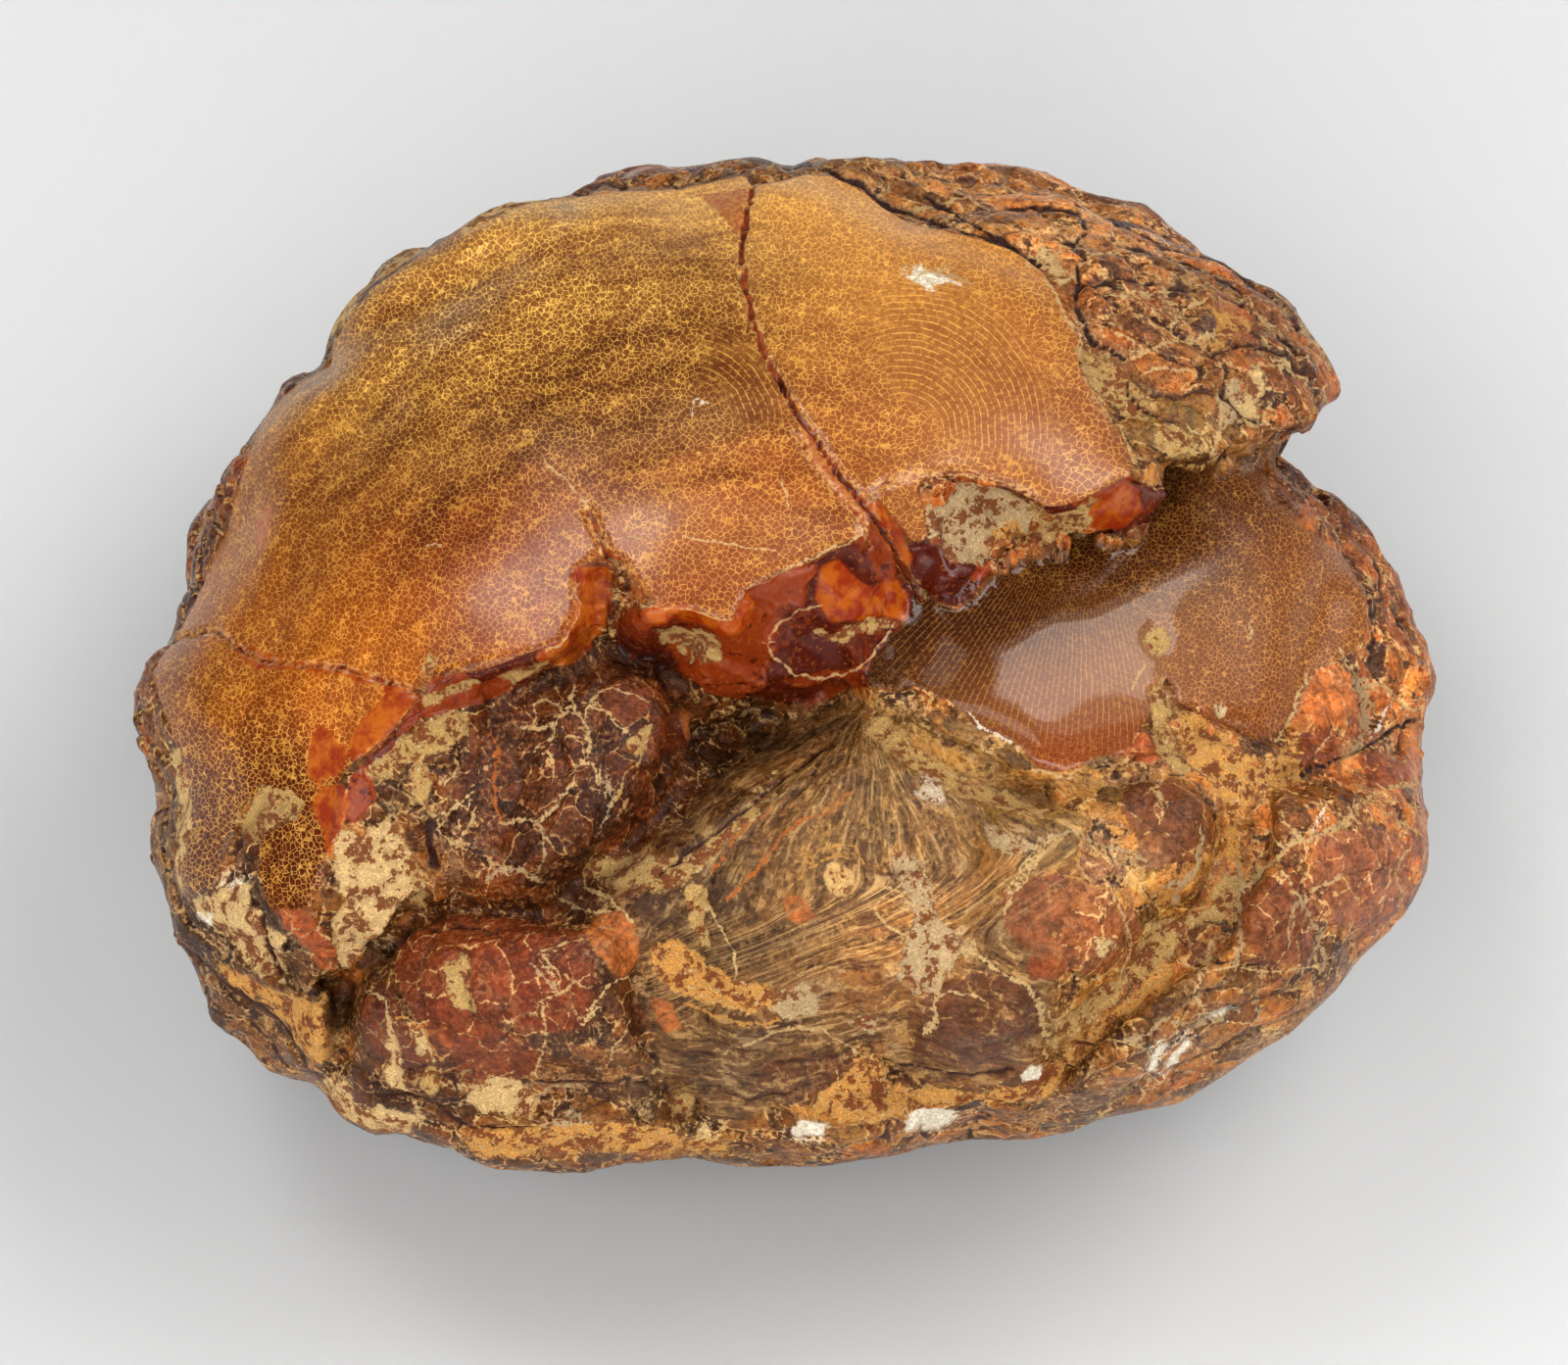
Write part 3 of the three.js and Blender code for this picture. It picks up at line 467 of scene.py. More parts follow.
CLAY = [  # colour, outline
    (OLIVE, [[262,806],[292,806],[310,820],[302,834],[280,842],[262,850],[245,848],[238,840],[250,822]]),
    (CREAM, [[205,918],[225,915],[240,898],[250,905],[258,925],[268,945],[285,960],[285,1000],[262,998],[240,970],[222,940]]),
    (CREAM, [[340,865],[352,850],[370,850],[385,845],[400,830],[412,850],[416,880],[425,905],[405,925],[385,950],[365,985],[348,985],[342,950],[352,915]]),
    (OLIVE, [[372,785],[400,765],[428,742],[450,730],[478,728],[480,745],[455,765],[430,775],[405,785],[385,800]]),
    (OLIVE, [[420,780],[438,782],[440,800],[432,822],[420,815]]),
    (OLIVE, [[400,870],[425,880],[436,905],[425,915],[410,900]]),
    (OLIVE, [[668,643],[700,650],[728,650],[735,672],[722,680],[704,674],[690,668],[676,655]]),
    (OLIVE, [[430,712],[450,702],[470,695],[485,690],[488,698],[470,708],[450,716],[436,722]]),
    (OLIVE, [[508,695],[530,685],[560,676],[555,684],[530,694],[512,702]]),
    (OLIVE, [[430,680],[438,668],[448,668],[446,682],[436,692]]),
    (OLIVE, [[830,640],[850,648],[872,636],[905,628],[918,636],[880,648],[860,656],[836,652]]),
    (GREY, [[944,505],[952,520],[968,520],[972,500],[988,494],[1008,500],[1030,515],[1048,530],[1050,548],[1030,552],[1012,560],[1008,574],[985,572],[970,575],[964,562],[950,548],[944,530]]),
    (OCHRE, [[1010,545],[1030,535],[1048,540],[1045,552],[1020,560],[1008,562]]),
    (OLIVE, [[1050,520],[1062,522],[1072,538],[1090,530],[1100,525],[1112,512],[1122,510],[1115,530],[1110,545],[1090,556],[1070,556],[1058,548]]),
    (OLIVE, [[1178,432],[1200,430],[1215,440],[1222,458],[1218,470],[1205,474],[1190,458],[1180,450]]),
    (OCHRE, [[1205,728],[1225,728],[1245,745],[1262,762],[1285,780],[1300,778],[1320,752],[1326,778],[1330,792],[1310,800],[1285,808],[1265,830],[1262,870],[1255,880],[1250,820],[1232,795],[1215,775],[1205,755]]),
    (OCHRE, [[840,1118],[862,1100],[885,1078],[902,1085],[910,1110],[940,1112],[1000,1120],[1045,1108],[1080,1082],[1088,1100],[1060,1125],[1000,1132],[950,1135],[900,1150],[850,1150],[828,1135]]),
    (OCHRE, [[1235,318],[1250,312],[1262,325],[1280,328],[1270,340],[1252,345],[1242,352],[1240,335]]),
    (OCHRE, [[1228,300],[1238,308],[1232,318],[1222,312]]),
    (OLIVE, [[1262,872],[1270,900],[1252,930],[1215,945],[1195,975],[1160,995],[1120,1035],[1085,1060],[1072,1078],[1078,1050],[1105,1015],[1150,985],[1170,945],[1200,938],[1235,925],[1252,890]]),
    (OCHRE, [[1085,1065],[1110,1045],[1140,1030],[1165,1010],[1180,985],[1200,985],[1190,1005],[1165,1030],[1140,1045],[1115,1065],[1092,1085]]),
    (OLIVE, [[600,885],[650,872],[700,872],[730,850],[760,820],[790,790],[800,795],[770,830],[735,870],[705,895],[690,912],[650,908],[610,900]]),
    (OLIVE, [[640,755],[652,748],[658,738],[668,738],[664,755],[650,770],[640,768]]),
    # partly painted sheen: this grey patch lies where the middle of the swirl shines
    (GREY, [[905,860],[935,870],[950,900],[960,940],[985,960],[965,1000],[940,1015],[915,1000],[925,960],[935,925],[915,890]]),
    (OCHRE, [[215,985],[235,990],[262,1010],[300,1030],[335,1022],[348,1040],[340,1075],[320,1090],[295,1075],[270,1050],[240,1022]]),
    (OLIVE, [[230,1000],[255,1005],[290,1030],[275,1040],[245,1022]]),
    (GREY, [[200,995],[215,1000],[212,1012],[200,1005]]),
    (CREAM, [[325,1105],[345,1095],[360,1105],[368,1125],[400,1130],[430,1140],[420,1150],[380,1145],[345,1140],[330,1125]]),
    (CREAM, [[395,1062],[404,1050],[410,1070],[412,1095],[402,1108],[392,1095],[400,1085]]),
    (OLIVE, [[388,1045],[396,1052],[392,1062],[384,1056]]),
    (CREAM, [[418,1040],[432,1050],[438,1068],[445,1085],[432,1080],[424,1060]]),
    (OLIVE, [[455,985],[470,975],[482,990],[475,1010],[485,1030],[470,1030],[460,1010]]),
    (OLIVE, [[432,1095],[445,1090],[450,1105],[440,1118],[430,1110]]),
    (CREAM, [[470,1105],[520,1102],[545,1118],[540,1140],[505,1135],[480,1125]]),
    (OCHRE, [[480,1150],[560,1150],[600,1140],[650,1150],[740,1168],[740,1180],[690,1176],[620,1180],[560,1188],[500,1180],[470,1165]]),
    (GREY, [[545,1155],[580,1132],[610,1140],[590,1160],[560,1168]]),
    (CREAM, [[620,1168],[660,1160],[700,1165],[720,1150],[735,1165],[700,1176],[650,1176]]),
    (OLIVE, [[690,1115],[705,1120],[700,1150],[688,1145]]),
    (CREAM, [[470,232],[520,208],[560,203],[560,214],[530,224],[480,245]]),
    (CREAM, [[395,268],[430,258],[445,254],[400,285],[365,305],[348,340],[338,345],[350,312]]),
    (OLIVE, [[1165,650],[1172,642],[1182,632],[1188,640],[1196,648],[1190,665],[1180,668],[1170,665]]),
    (OLIVE, [[1172,702],[1184,695],[1196,705],[1204,722],[1196,742],[1200,765],[1215,790],[1200,785],[1185,770],[1182,745],[1178,725]]),
    (CREAM, [[165,770],[178,765],[186,800],[192,830],[196,850],[188,870],[192,905],[182,895],[172,860],[178,830],[168,800]]),
    (OLIVE, [[1125,560],[1128,552],[1140,552],[1138,560]]),
    (OLIVE, [[1098,355],[1112,352],[1130,368],[1150,372],[1152,395],[1175,412],[1170,430],[1150,420],[1125,400],[1108,378]]),
    (CREAM, [[1060,250],[1072,245],[1078,262],[1090,285],[1082,290],[1068,272]]),
    (GREY, [[1245,395],[1262,385],[1275,400],[1262,425],[1250,440],[1235,430]]),
    (CREAM, [[1275,370],[1288,370],[1290,395],[1280,415],[1290,435],[1275,435],[1268,410]]),
    (OLIVE, [[880,745],[900,735],[935,760],[985,795],[1040,815],[1070,830],[1040,830],[985,812],[930,780]]),
    (GREY, [[1005,840],[1030,850],[1055,862],[1040,872],[1015,865]]),
    (OLIVE, [[705,900],[718,905],[724,925],[716,940],[722,965],[710,968],[706,945],[698,920]]),
    (OCHRE, [[660,965],[690,960],[720,985],[750,1000],[790,1010],[800,1030],[760,1035],[720,1020],[690,1015],[665,990]]),
    (GREY, [[790,1015],[815,1005],[835,1015],[830,1035],[805,1045],[785,1035]]),
    (GREY, [[865,1045],[885,1035],[900,1045],[890,1055]]),
    (WHITE, [[802,1152],[815,1143],[828,1145],[842,1152],[838,1165],[815,1172],[802,1164]]),
    (WHITE, [[935,1142],[950,1134],[965,1138],[982,1150],[960,1162],[930,1160]]),
    (WHITE, [[1042,1095],[1055,1088],[1070,1090],[1078,1102],[1065,1112],[1045,1108]]),
    ((214, 172, 112), [[840,892],[848,884],[858,885],[869,890],[872,901],[863,911],[850,914],[841,905]]),
    (WHITE, [[938,266],[944,277],[960,279],[984,290],[962,287],[950,290],[957,306],[948,299],[941,290],[926,284],[910,272],[930,276]]),
    ((204, 184, 158), [[940,790],[950,785],[962,795],[965,815],[950,818],[936,810],[945,800]]),
    (WHITE, [[1172,1095],[1180,1076],[1190,1062],[1194,1070],[1184,1090],[1178,1098]]),
    (WHITE, [[1192,1096],[1202,1078],[1214,1062],[1218,1068],[1206,1090],[1198,1100]]),
    (WHITE, [[1232,1038],[1245,1034],[1256,1030],[1258,1036],[1242,1044],[1236,1042]]),
    (CREAM, [[1112,958],[1125,953],[1134,962],[1128,972],[1116,970]]),
    ((206, 180, 138), [[1246,716],[1252,722],[1248,735],[1240,730],[1236,722]]),
    (WHITE, [[232,905],[242,895],[244,902],[236,915],[230,912]]),
    (WHITE, [[210,925],[222,922],[230,935],[222,942],[212,935]]),
    (CREAM, [[1005,762],[1016,765],[1012,772],[1002,770]]),
    (OLIVE, [[430,905],[436,900],[440,910],[428,922],[420,918]]),
]
PLATES = [  # colour, outline: hard patches of the crust, not covered by clay
    ((122, 54, 24), [[400,962],[470,932],[560,945],[604,962],[612,1010],[600,1046],[560,1054],[520,1040],[470,1040],[440,1052],[410,1012]]),
    ((116, 54, 28), [[366,1012],[396,1006],[420,1050],[440,1085],[410,1092],[376,1060]]),
    ((136, 76, 44), [[1020,912],[1060,888],[1120,900],[1160,930],[1165,970],[1120,992],[1060,976],[1025,950]]),
    ((94, 50, 28), [[925,1032],[960,1002],[1010,992],[1060,1010],[1066,1050],[1020,1075],[960,1085],[930,1070]]),
    ((140, 80, 50), [[1340,850],[1400,845],[1445,862],[1440,920],[1400,950],[1350,940],[1330,900]]),
    ((118, 62, 34), [[1150,800],[1200,796],[1240,820],[1238,868],[1200,886],[1160,860],[1140,826]]),
    ((128, 70, 40), [[1270,900],[1320,890],[1345,930],[1330,985],[1280,980],[1262,940]]),
    ((106, 60, 34), [[780,1085],[850,1075],[890,1096],[870,1122],[800,1128],[770,1110]]),
    (ORANGE, [[598,950],[606,932],[628,925],[648,942],[652,965],[646,990],[638,998],[622,985],[605,968]]),
    (RUST, [[450,1056],[470,1042],[500,1043],[530,1058],[552,1075],[552,1095],[520,1104],[490,1100],[468,1088]]),
    (PALE_RED, [[448,1054],[468,1052],[484,1066],[478,1080],[460,1074]]),
    (PALE_RED, [[490,1062],[505,1050],[520,1056],[528,1068],[508,1072]]),
    (PALE_RED, [[282,925],[300,922],[325,942],[345,970],[345,990],[325,985],[305,962],[288,948]]),
    (PALE_RED, [[1152,735],[1166,734],[1176,752],[1184,770],[1184,780],[1168,780],[1150,772]]),
    (RUST, [[1050,975],[1080,972],[1092,985],[1080,998],[1055,1000],[1048,988]]),
    (ORANGE, [[1040,1014],[1054,1016],[1058,1027],[1042,1028]]),
    # painted sheen: paler patches where the ear and the belt shine
    (PAINTED_SHEEN, [[1076,895],[1102,900],[1130,912],[1145,935],[1140,955],[1110,958],[1078,940],[1070,915]]),
    (PAINTED_SHEEN, [[1100,875],[1130,878],[1145,890],[1120,895],[1102,888]]),
    (PAINTED_SHEEN, [[1160,862],[1185,860],[1195,875],[1175,888],[1158,880]]),
    (PAINTED_SHEEN, [[1345,868],[1390,858],[1430,865],[1420,880],[1370,885],[1345,890]]),
    (PLUM, [[640,908],[665,912],[680,928],[676,945],[655,942],[638,925]]),
    (PLUM, [[562,918],[590,906],[612,912],[612,928],[585,932]]),
    (PLUM, [[600,1108],[640,1102],[668,1110],[640,1128],[605,1125]]),
    (PLUM, [[360,1105],[385,1108],[402,1120],[398,1135],[370,1132]]),
    (PLUM, [[1262,757],[1280,752],[1305,756],[1296,768],[1280,775],[1264,772]]),
    (PLUM, [[1300,778],[1312,774],[1320,784],[1310,792],[1302,788]]),
    (PLUM, [[1200,740],[1212,732],[1222,738],[1214,748],[1218,756],[1208,756]]),
    (RUST, [[1225,782],[1234,778],[1242,795],[1232,800]]),
    (PLUM, [[850,1120],[868,1118],[880,1130],[868,1140],[855,1132]]),
    (PLUM, [[706,666],[718,666],[724,674],[716,682],[704,676]]),
    (PLUM, [[1222,300],[1232,294],[1240,302],[1240,312],[1228,310]]),
    (PLUM, [[1212,325],[1230,322],[1242,334],[1238,345],[1215,342]]),
    (PLUM, [[1130,365],[1142,362],[1146,374],[1134,378]]),
    (PLUM, [[950,520],[962,530],[968,545],[955,545],[945,532]]),
    (RUST, [[1182,700],[1190,705],[1186,715],[1180,710]]),
    (ORANGE, [[1322,515],[1334,512],[1342,530],[1340,552],[1330,540]]),
    (ORANGE, [[1404,698],[1416,700],[1422,714],[1410,712]]),
    (ORANGE, [[1442,742],[1456,745],[1458,790],[1446,794],[1438,768]]),
    (RUST, [[1330,748],[1350,744],[1372,756],[1370,772],[1345,784],[1332,790],[1326,772]]),
    (RUST, [[1395,772],[1420,765],[1448,762],[1450,792],[1420,796],[1398,800]]),
    (ORANGE, [[1336,700],[1345,676],[1365,675],[1380,692],[1388,712],[1384,728],[1365,744],[1338,738],[1330,716]]),
    (ORANGE, [[1346,386],[1360,378],[1370,392],[1364,406],[1350,408]]),
    (ORANGE, [[1300,1000],[1296,1020],[1305,1034],[1298,1038],[1290,1020]]),
    (RUST, [[672,735],[690,732],[706,745],[700,760],[684,765],[672,750]]),
    (ORANGE, [[684,715],[700,728],[708,748],[698,760],[690,745]]),
    (RUST, [[338,1105],[352,1102],[352,1118],[342,1120]]),
    (RUST, [[650,1172],[668,1168],[672,1180],[655,1184]]),
    (PLUM, [[590,1172],[640,1176],[655,1188],[600,1190]]),
    (ORANGE, [[800,915],[820,918],[830,935],[815,945],[800,935]]),
    (ORANGE, [[668,1020],[688,1022],[694,1050],[680,1055],[668,1040]]),
    (TAN, [[782,650],[800,625],[830,618],[850,640],[880,650],[905,640],[915,655],[895,680],[860,690],[825,698],[800,690],[785,672]]),
]
LINES = [  # colour, half width, depth in mm, line: veins that clay fills, and open creases (no colour of their own; the material paints shade into them)
    (CREAM,.42,.7,[[1268,908],[1283,893],[1300,876],[1318,862],[1340,853],[1360,845],[1376,841],[1379,828]]),
    (CREAM,.30,.4,[[1318,862],[1308,868],[1298,852],[1288,846]]), (CREAM,.28,.4,[[1318,862],[1326,855],[1312,838],[1305,826]]),
    (CREAM,.28,.5,[[1300,876],[1308,892],[1318,908],[1328,918]]), (CREAM,.30,.5,[[1328,918],[1338,905],[1350,898],[1365,893]]),
    (GREY,.50,.5,[[1328,918],[1334,935],[1343,950],[1348,970],[1346,988]]), (GREY,.30,.3,[[1328,918],[1316,924],[1312,940],[1310,960]]),
    (GREY,.50,.6,[[1262,880],[1264,910],[1264,940],[1266,960],[1263,985]]),
    (CREAM,.22,.3,[[1235,990],[1250,987],[1263,985],[1280,988],[1300,988],[1330,986],[1360,986]]),
    (GREY,.35,.4,[[1280,990],[1284,1005],[1284,1025],[1284,1045]]), (CREAM,.36,.4,[[1205,978],[1220,988],[1226,1000],[1222,1015],[1226,1030],[1236,1038]]),
    (CREAM,.30,.3,[[1226,990],[1232,975],[1236,960]]), (WHITE,.30,.2,[[1338,846],[1345,836],[1350,828]]),
    (CREAM,.30,.5,[[1398,806],[1420,800],[1452,797]]), (CREAM,.26,.4,[[1392,812],[1410,822],[1432,838],[1453,850]]),
    (None,.5,1.6,[[1332,790],[1352,780],[1375,770],[1400,757],[1430,742],[1452,735]]), (CREAM,.42,.5,[[1336,688],[1328,702],[1322,720],[1315,738],[1306,750]]),
    (CREAM,.32,.5,[[1370,665],[1376,680],[1386,692],[1400,697],[1416,702],[1430,716],[1452,723]]), (GREY,.8,1.2,[[1386,692],[1396,710],[1398,735],[1390,755],[1382,768]]),
    (WHITE,.35,.3,[[1404,742],[1412,732],[1416,724]]), (CREAM,.22,.3,[[1345,768],[1352,756],[1358,750]]),
    (None,.35,.9,[[1410,600],[1422,620],[1435,645],[1450,670]]), (None,.4,1.1,[[1398,570],[1404,600],[1398,630],[1402,655],[1400,680]]),
    (None,.3,.8,[[1330,795],[1350,798],[1375,803],[1392,812]]), (None,.35,.9,[[1365,893],[1400,888],[1440,890]]),
    (CREAM,.26,.3,[[1440,860],[1430,875],[1425,895],[1430,910]]), (None,.3,.7,[[1395,850],[1405,870],[1410,888]]),
    (CREAM,.36,.6,[[988,970],[1005,982],[1025,995],[1048,1008],[1060,1020],[1072,1038],[1080,1044]]), (CREAM,.34,.5,[[1048,1008],[1058,1026],[1066,1048],[1070,1068],[1064,1090]]),
    (OCHRE,.22,.3,[[1070,890],[1100,898],[1125,908],[1150,915],[1178,919],[1210,922]]), (CREAM,.30,.3,[[1132,912],[1144,930],[1150,950],[1150,972],[1142,990]]),
    (GREY,.50,.4,[[1222,852],[1221,872],[1217,890],[1205,899],[1190,902]]), (GREY,.45,.3,[[1216,892],[1208,903],[1202,918]]),
    (CREAM,.30,.4,[[1075,852],[1062,872],[1050,890],[1038,910],[1028,930]]), (CREAM,.22,.3,[[1066,852],[1052,872],[1040,890],[1028,908]]),
    (GREY,.35,.3,[[1022,862],[1048,866],[1075,852],[1098,848],[1122,862],[1150,870],[1168,882]]), (CREAM,.50,.5,[[985,968],[972,978],[962,992],[956,1012],[957,1030],[950,1048]]),
    (CREAM,.22,.2,[[958,1015],[975,1010],[992,1013],[1004,1022]]), (CREAM,.22,.2,[[1180,800],[1182,815],[1186,824]]),
    (None,.3,1.0,[[1225,800],[1240,830],[1246,860],[1240,890],[1222,925]]), (None,.3,.4,[[1110,800],[1135,830],[1150,842]]),
    (None,.25,.3,[[1030,800],[1060,815],[1100,838],[1130,860]]), (None,.4,1.2,[[905,1085],[940,1092],[990,1098],[1040,1092]]), (None,.3,.9,[[930,1055],[975,1065],[1020,1062],[1060,1048]]),
    (GREY,.40,.4,[[1150,1062],[1175,1052],[1192,1042],[1215,1048],[1228,1050],[1248,1042]]), (None,.35,1.0,[[1075,1080],[1110,1062],[1150,1058],[1190,1040],[1220,1020],[1250,1010]]),
    (None,.3,.9,[[1100,1110],[1140,1085],[1190,1070],[1230,1045],[1290,1020],[1330,1000]]), (None,.3,.9,[[1120,1135],[1170,1110],[1230,1085],[1280,1055],[1330,1030]]),
    (CREAM,.28,.3,[[1165,1125],[1180,1105],[1192,1094]]), (CREAM,.24,.3,[[1120,1140],[1150,1120],[1165,1105]]), (CREAM,.2,.2,[[1120,1066],[1150,1063],[1168,1070],[1176,1082]]),
    (ORANGE,.34,.4,[[830,832],[812,842],[796,856],[785,872],[772,888],[758,903],[745,915]]), (ORANGE,.28,.4,[[780,828],[765,840],[750,855],[738,872],[728,888]]),
    (ORANGE,.22,.2,[[866,808],[855,820],[840,830]]), (OCHRE,.26,.3,[[812,880],[835,868],[855,862],[872,866],[880,880]]), (OCHRE,.22,.3,[[805,905],[828,885],[850,875],[868,880]]),
    (CREAM,.28,.3,[[722,925],[732,942],[742,960],[748,978],[750,995]]), (CREAM,.28,.3,[[740,1075],[765,1068],[790,1058],[815,1050],[840,1052],[858,1065],[880,1078]]),
    (CREAM,.22,.2,[[895,930],[905,945],[925,955],[945,965]]), (CREAM,.24,.3,[[905,905],[925,915],[945,930]]), (OCHRE,.36,.3,[[700,1025],[725,1035],[755,1045],[790,1045]]),
    (None,.4,1.2,[[850,755],[790,795],[730,845],[670,890]]), (None,.35,.9,[[865,765],[815,805],[765,850],[720,900],[700,935]]), (None,.3,.7,[[870,790],[850,825],[838,850],[830,880]]),
    (None,.3,.8,[[905,765],[900,800],[890,840],[895,880],[915,900]]), (None,.35,.9,[[880,885],[910,892],[935,890],[950,880]]), (None,.3,.8,[[775,930],[800,960],[805,990],[790,1015]]),
    (None,.35,.8,[[860,965],[890,945],[915,940]]), (None,.35,.9,[[700,1050],[740,1075],[790,1085],[850,1080],[880,1065]]), (None,.4,1.0,[[720,1110],[760,1125],[800,1118],[840,1100]]), (None,.3,.7,[[830,925],[850,955],[845,985],[860,1010]]),
    (CREAM,.38,.5,[[376,1012],[392,1022],[400,1038],[402,1060],[402,1090],[412,1110],[425,1130],[430,1145]]), (OCHRE,.30,.4,[[402,1040],[418,1036],[432,1048],[440,1068],[450,1080]]),
    (CREAM,.22,.3,[[553,973],[570,962],[585,957]]), (CREAM,.22,.3,[[553,973],[565,985],[575,1000],[568,1008]]), (CREAM,.28,.4,[[556,1022],[570,1012],[590,1004],[600,995]]),
    (CREAM,.24,.3,[[556,1022],[556,1045],[552,1075],[548,1100]]), (CREAM,.22,.3,[[645,995],[625,1005],[612,1020],[598,1035]]), (CREAM,.55,.2,[[595,1041],[601,1034],[606,1031]]),
    (CREAM,.22,.3,[[640,1045],[625,1065],[620,1085]]), (GREY,.40,.3,[[545,985],[555,995],[565,1008]]),
    (None,.4,1.0,[[440,950],[475,945],[510,955],[530,970]]), (None,.35,.9,[[480,985],[475,1010],[482,1035],[500,1045]]), (None,.4,1.1,[[540,1108],[600,1108],[640,1105],[672,1108]]),
    (GREY,.28,.3,[[545,1125],[565,1112],[590,1112]]), (None,.35,.9,[[560,1140],[600,1130],[640,1122],[665,1105]]), (None,.35,.7,[[440,960],[432,1000],[436,1040]]), (None,.4,1.2,[[380,1115],[430,1122],[480,1150],[540,1155]]),
    (CREAM,.32,.3,[[600,905],[618,912],[632,925],[645,940]]), (CREAM,.28,.3,[[575,918],[600,930],[618,925]]),
    (CREAM,.36,.3,[[535,743],[552,744],[565,738],[575,728],[590,730],[600,720],[608,708]]), (CREAM,.26,.3,[[543,735],[545,722],[553,712],[565,718],[572,728]]),
    (CREAM,.28,.3,[[563,742],[560,752],[552,760],[545,768]]), (CREAM,.30,.3,[[600,720],[618,722],[626,732],[632,742],[640,748]]), (CREAM,.22,.3,[[608,708],[625,703],[645,706],[660,714]]),
    (CREAM,.26,.3,[[590,730],[598,742],[602,758],[598,770]]), (CREAM,.2,.3,[[578,752],[590,750],[600,756]]), (CREAM,.24,.3,[[585,700],[582,715],[590,728]]), (CREAM,.22,.3,[[602,775],[610,790],[612,805]]),
    (CREAM,.34,.3,[[582,800],[572,812],[562,825],[548,834],[528,838],[510,838]]), (CREAM,.22,.3,[[580,790],[588,782],[600,778]]), (GREY,.60,.2,[[500,893],[512,886],[530,888],[545,897]]),
    (GREY,.30,.2,[[548,838],[555,855],[558,872],[550,890]]), (GREY,.35,.2,[[620,790],[625,815],[618,840]]), (CREAM,.28,.2,[[560,795],[562,780],[560,770]]), (OLIVE,.35,.2,[[662,745],[655,775],[640,790],[628,815]]),
    (None,.35,1.1,[[600,740],[612,770],[618,810],[612,850],[600,880]]), (None,.3,.9,[[560,745],[575,775],[572,800]]), (None,.3,.9,[[520,760],[530,790],[525,820],[510,840]]), (None,.3,.8,[[545,845],[575,850],[600,870]]),
    (None,.35,.9,[[500,870],[540,880],[575,895]]), (ORANGE,.28,.4,[[502,745],[506,770],[503,800],[508,835]]), (CREAM,.28,.3,[[425,812],[432,828],[445,833],[458,828],[468,820],[480,812]]),
    (CREAM,.22,.3,[[455,800],[465,790],[478,786]]), (CREAM,.24,.3,[[448,838],[450,850],[458,862],[470,858],[480,842],[484,828]]), (None,.8,1.6,[[440,840],[437,862],[442,885]]),
    (None,.5,1.6,[[800,172],[860,185],[920,203],[980,228],[1010,240],[1040,250]]), (None,.5,1.5,[[945,186],[980,200],[1000,225],[1030,245],[1060,262]]), (CREAM,.35,.4,[[900,200],[930,202],[960,190],[975,186]]),
    (None,.4,1.2,[[1000,190],[1060,195],[1105,215],[1112,228],[1100,240],[1085,242]]), (CREAM,.3,.3,[[1112,228],[1104,238],[1096,246]]), (CREAM,.5,.3,[[1075,268],[1082,250],[1095,240]]),
    (CREAM,.35,.3,[[1085,285],[1100,268],[1120,255],[1132,252]]), (CREAM,.42,.3,[[1135,296],[1150,298],[1176,297],[1200,292]]), (None,.4,1.2,[[1100,290],[1140,280],[1180,282],[1210,292]]),
    (None,.4,1.2,[[1125,240],[1160,245],[1200,262],[1240,280],[1270,300]]), (None,.35,1.1,[[1120,205],[1160,218],[1200,240],[1245,265],[1290,300]]), (CREAM,.26,.3,[[1140,250],[1170,252],[1205,262]]),
    (CREAM,.42,.5,[[1152,362],[1175,355],[1200,348],[1225,345],[1240,340]]), (CREAM,.36,.4,[[1200,348],[1195,330],[1205,318],[1225,308]]), (CREAM,.28,.3,[[1138,335],[1150,345],[1165,350]]),
    (CREAM,.28,.4,[[1290,350],[1300,362],[1320,380],[1345,400],[1352,408]]), (CREAM,.28,.4,[[1325,335],[1335,350],[1350,368]]), (CREAM,.26,.3,[[1295,368],[1310,375],[1320,385]]),
    (CREAM,.32,.3,[[1170,380],[1190,375],[1215,378],[1230,385]]), (CREAM,.42,.4,[[1250,395],[1252,420],[1245,445],[1240,465]]), (CREAM,.32,.3,[[1275,395],[1280,415],[1295,435],[1310,440]]), (CREAM,.28,.3,[[1215,430],[1228,445],[1238,465]]),
    (None,.5,1.4,[[1100,268],[1096,300],[1106,330],[1126,350],[1150,360]]), (None,.4,1.1,[[1240,355],[1280,350],[1310,365],[1340,390]]), (None,.4,1.1,[[1255,370],[1250,395],[1270,420],[1300,430]]),
    (None,.4,1.1,[[1180,395],[1210,400],[1240,395]]), (None,.4,1.1,[[1150,370],[1150,400],[1175,420],[1200,425]]), (None,.35,.9,[[1222,316],[1240,320],[1248,330],[1240,345]]),
    (None,.4,1.2,[[250,910],[262,935],[268,970],[285,1000]]), (None,.4,1.0,[[290,985],[300,1005],[295,1020]]), (None,.35,.9,[[345,900],[330,930],[318,960]]), (None,.4,1.1,[[420,780],[405,810],[400,840]]),
    (None,.4,1.1,[[180,950],[215,1000],[265,1050],[310,1095]]), (None,.35,.9,[[172,925],[195,975],[240,1030],[280,1070]]), (None,.35,.9,[[165,800],[172,850],[176,900],[200,940]]),
    (None,.35,1.0,[[340,350],[360,320],[395,290],[440,262]]), (None,.35,1.0,[[480,235],[540,212],[600,198]]), (None,.35,.9,[[600,190],[660,182],[720,178],[780,172]]),
    (CREAM,.26,.3,[[555,472],[575,490],[592,508],[604,528],[612,545]]), (CREAM,.2,.1,[[545,658],[548,640],[560,628],[580,612],[592,596]]), (CREAM,.16,.0,[[620,540],[640,546],[660,552]]),
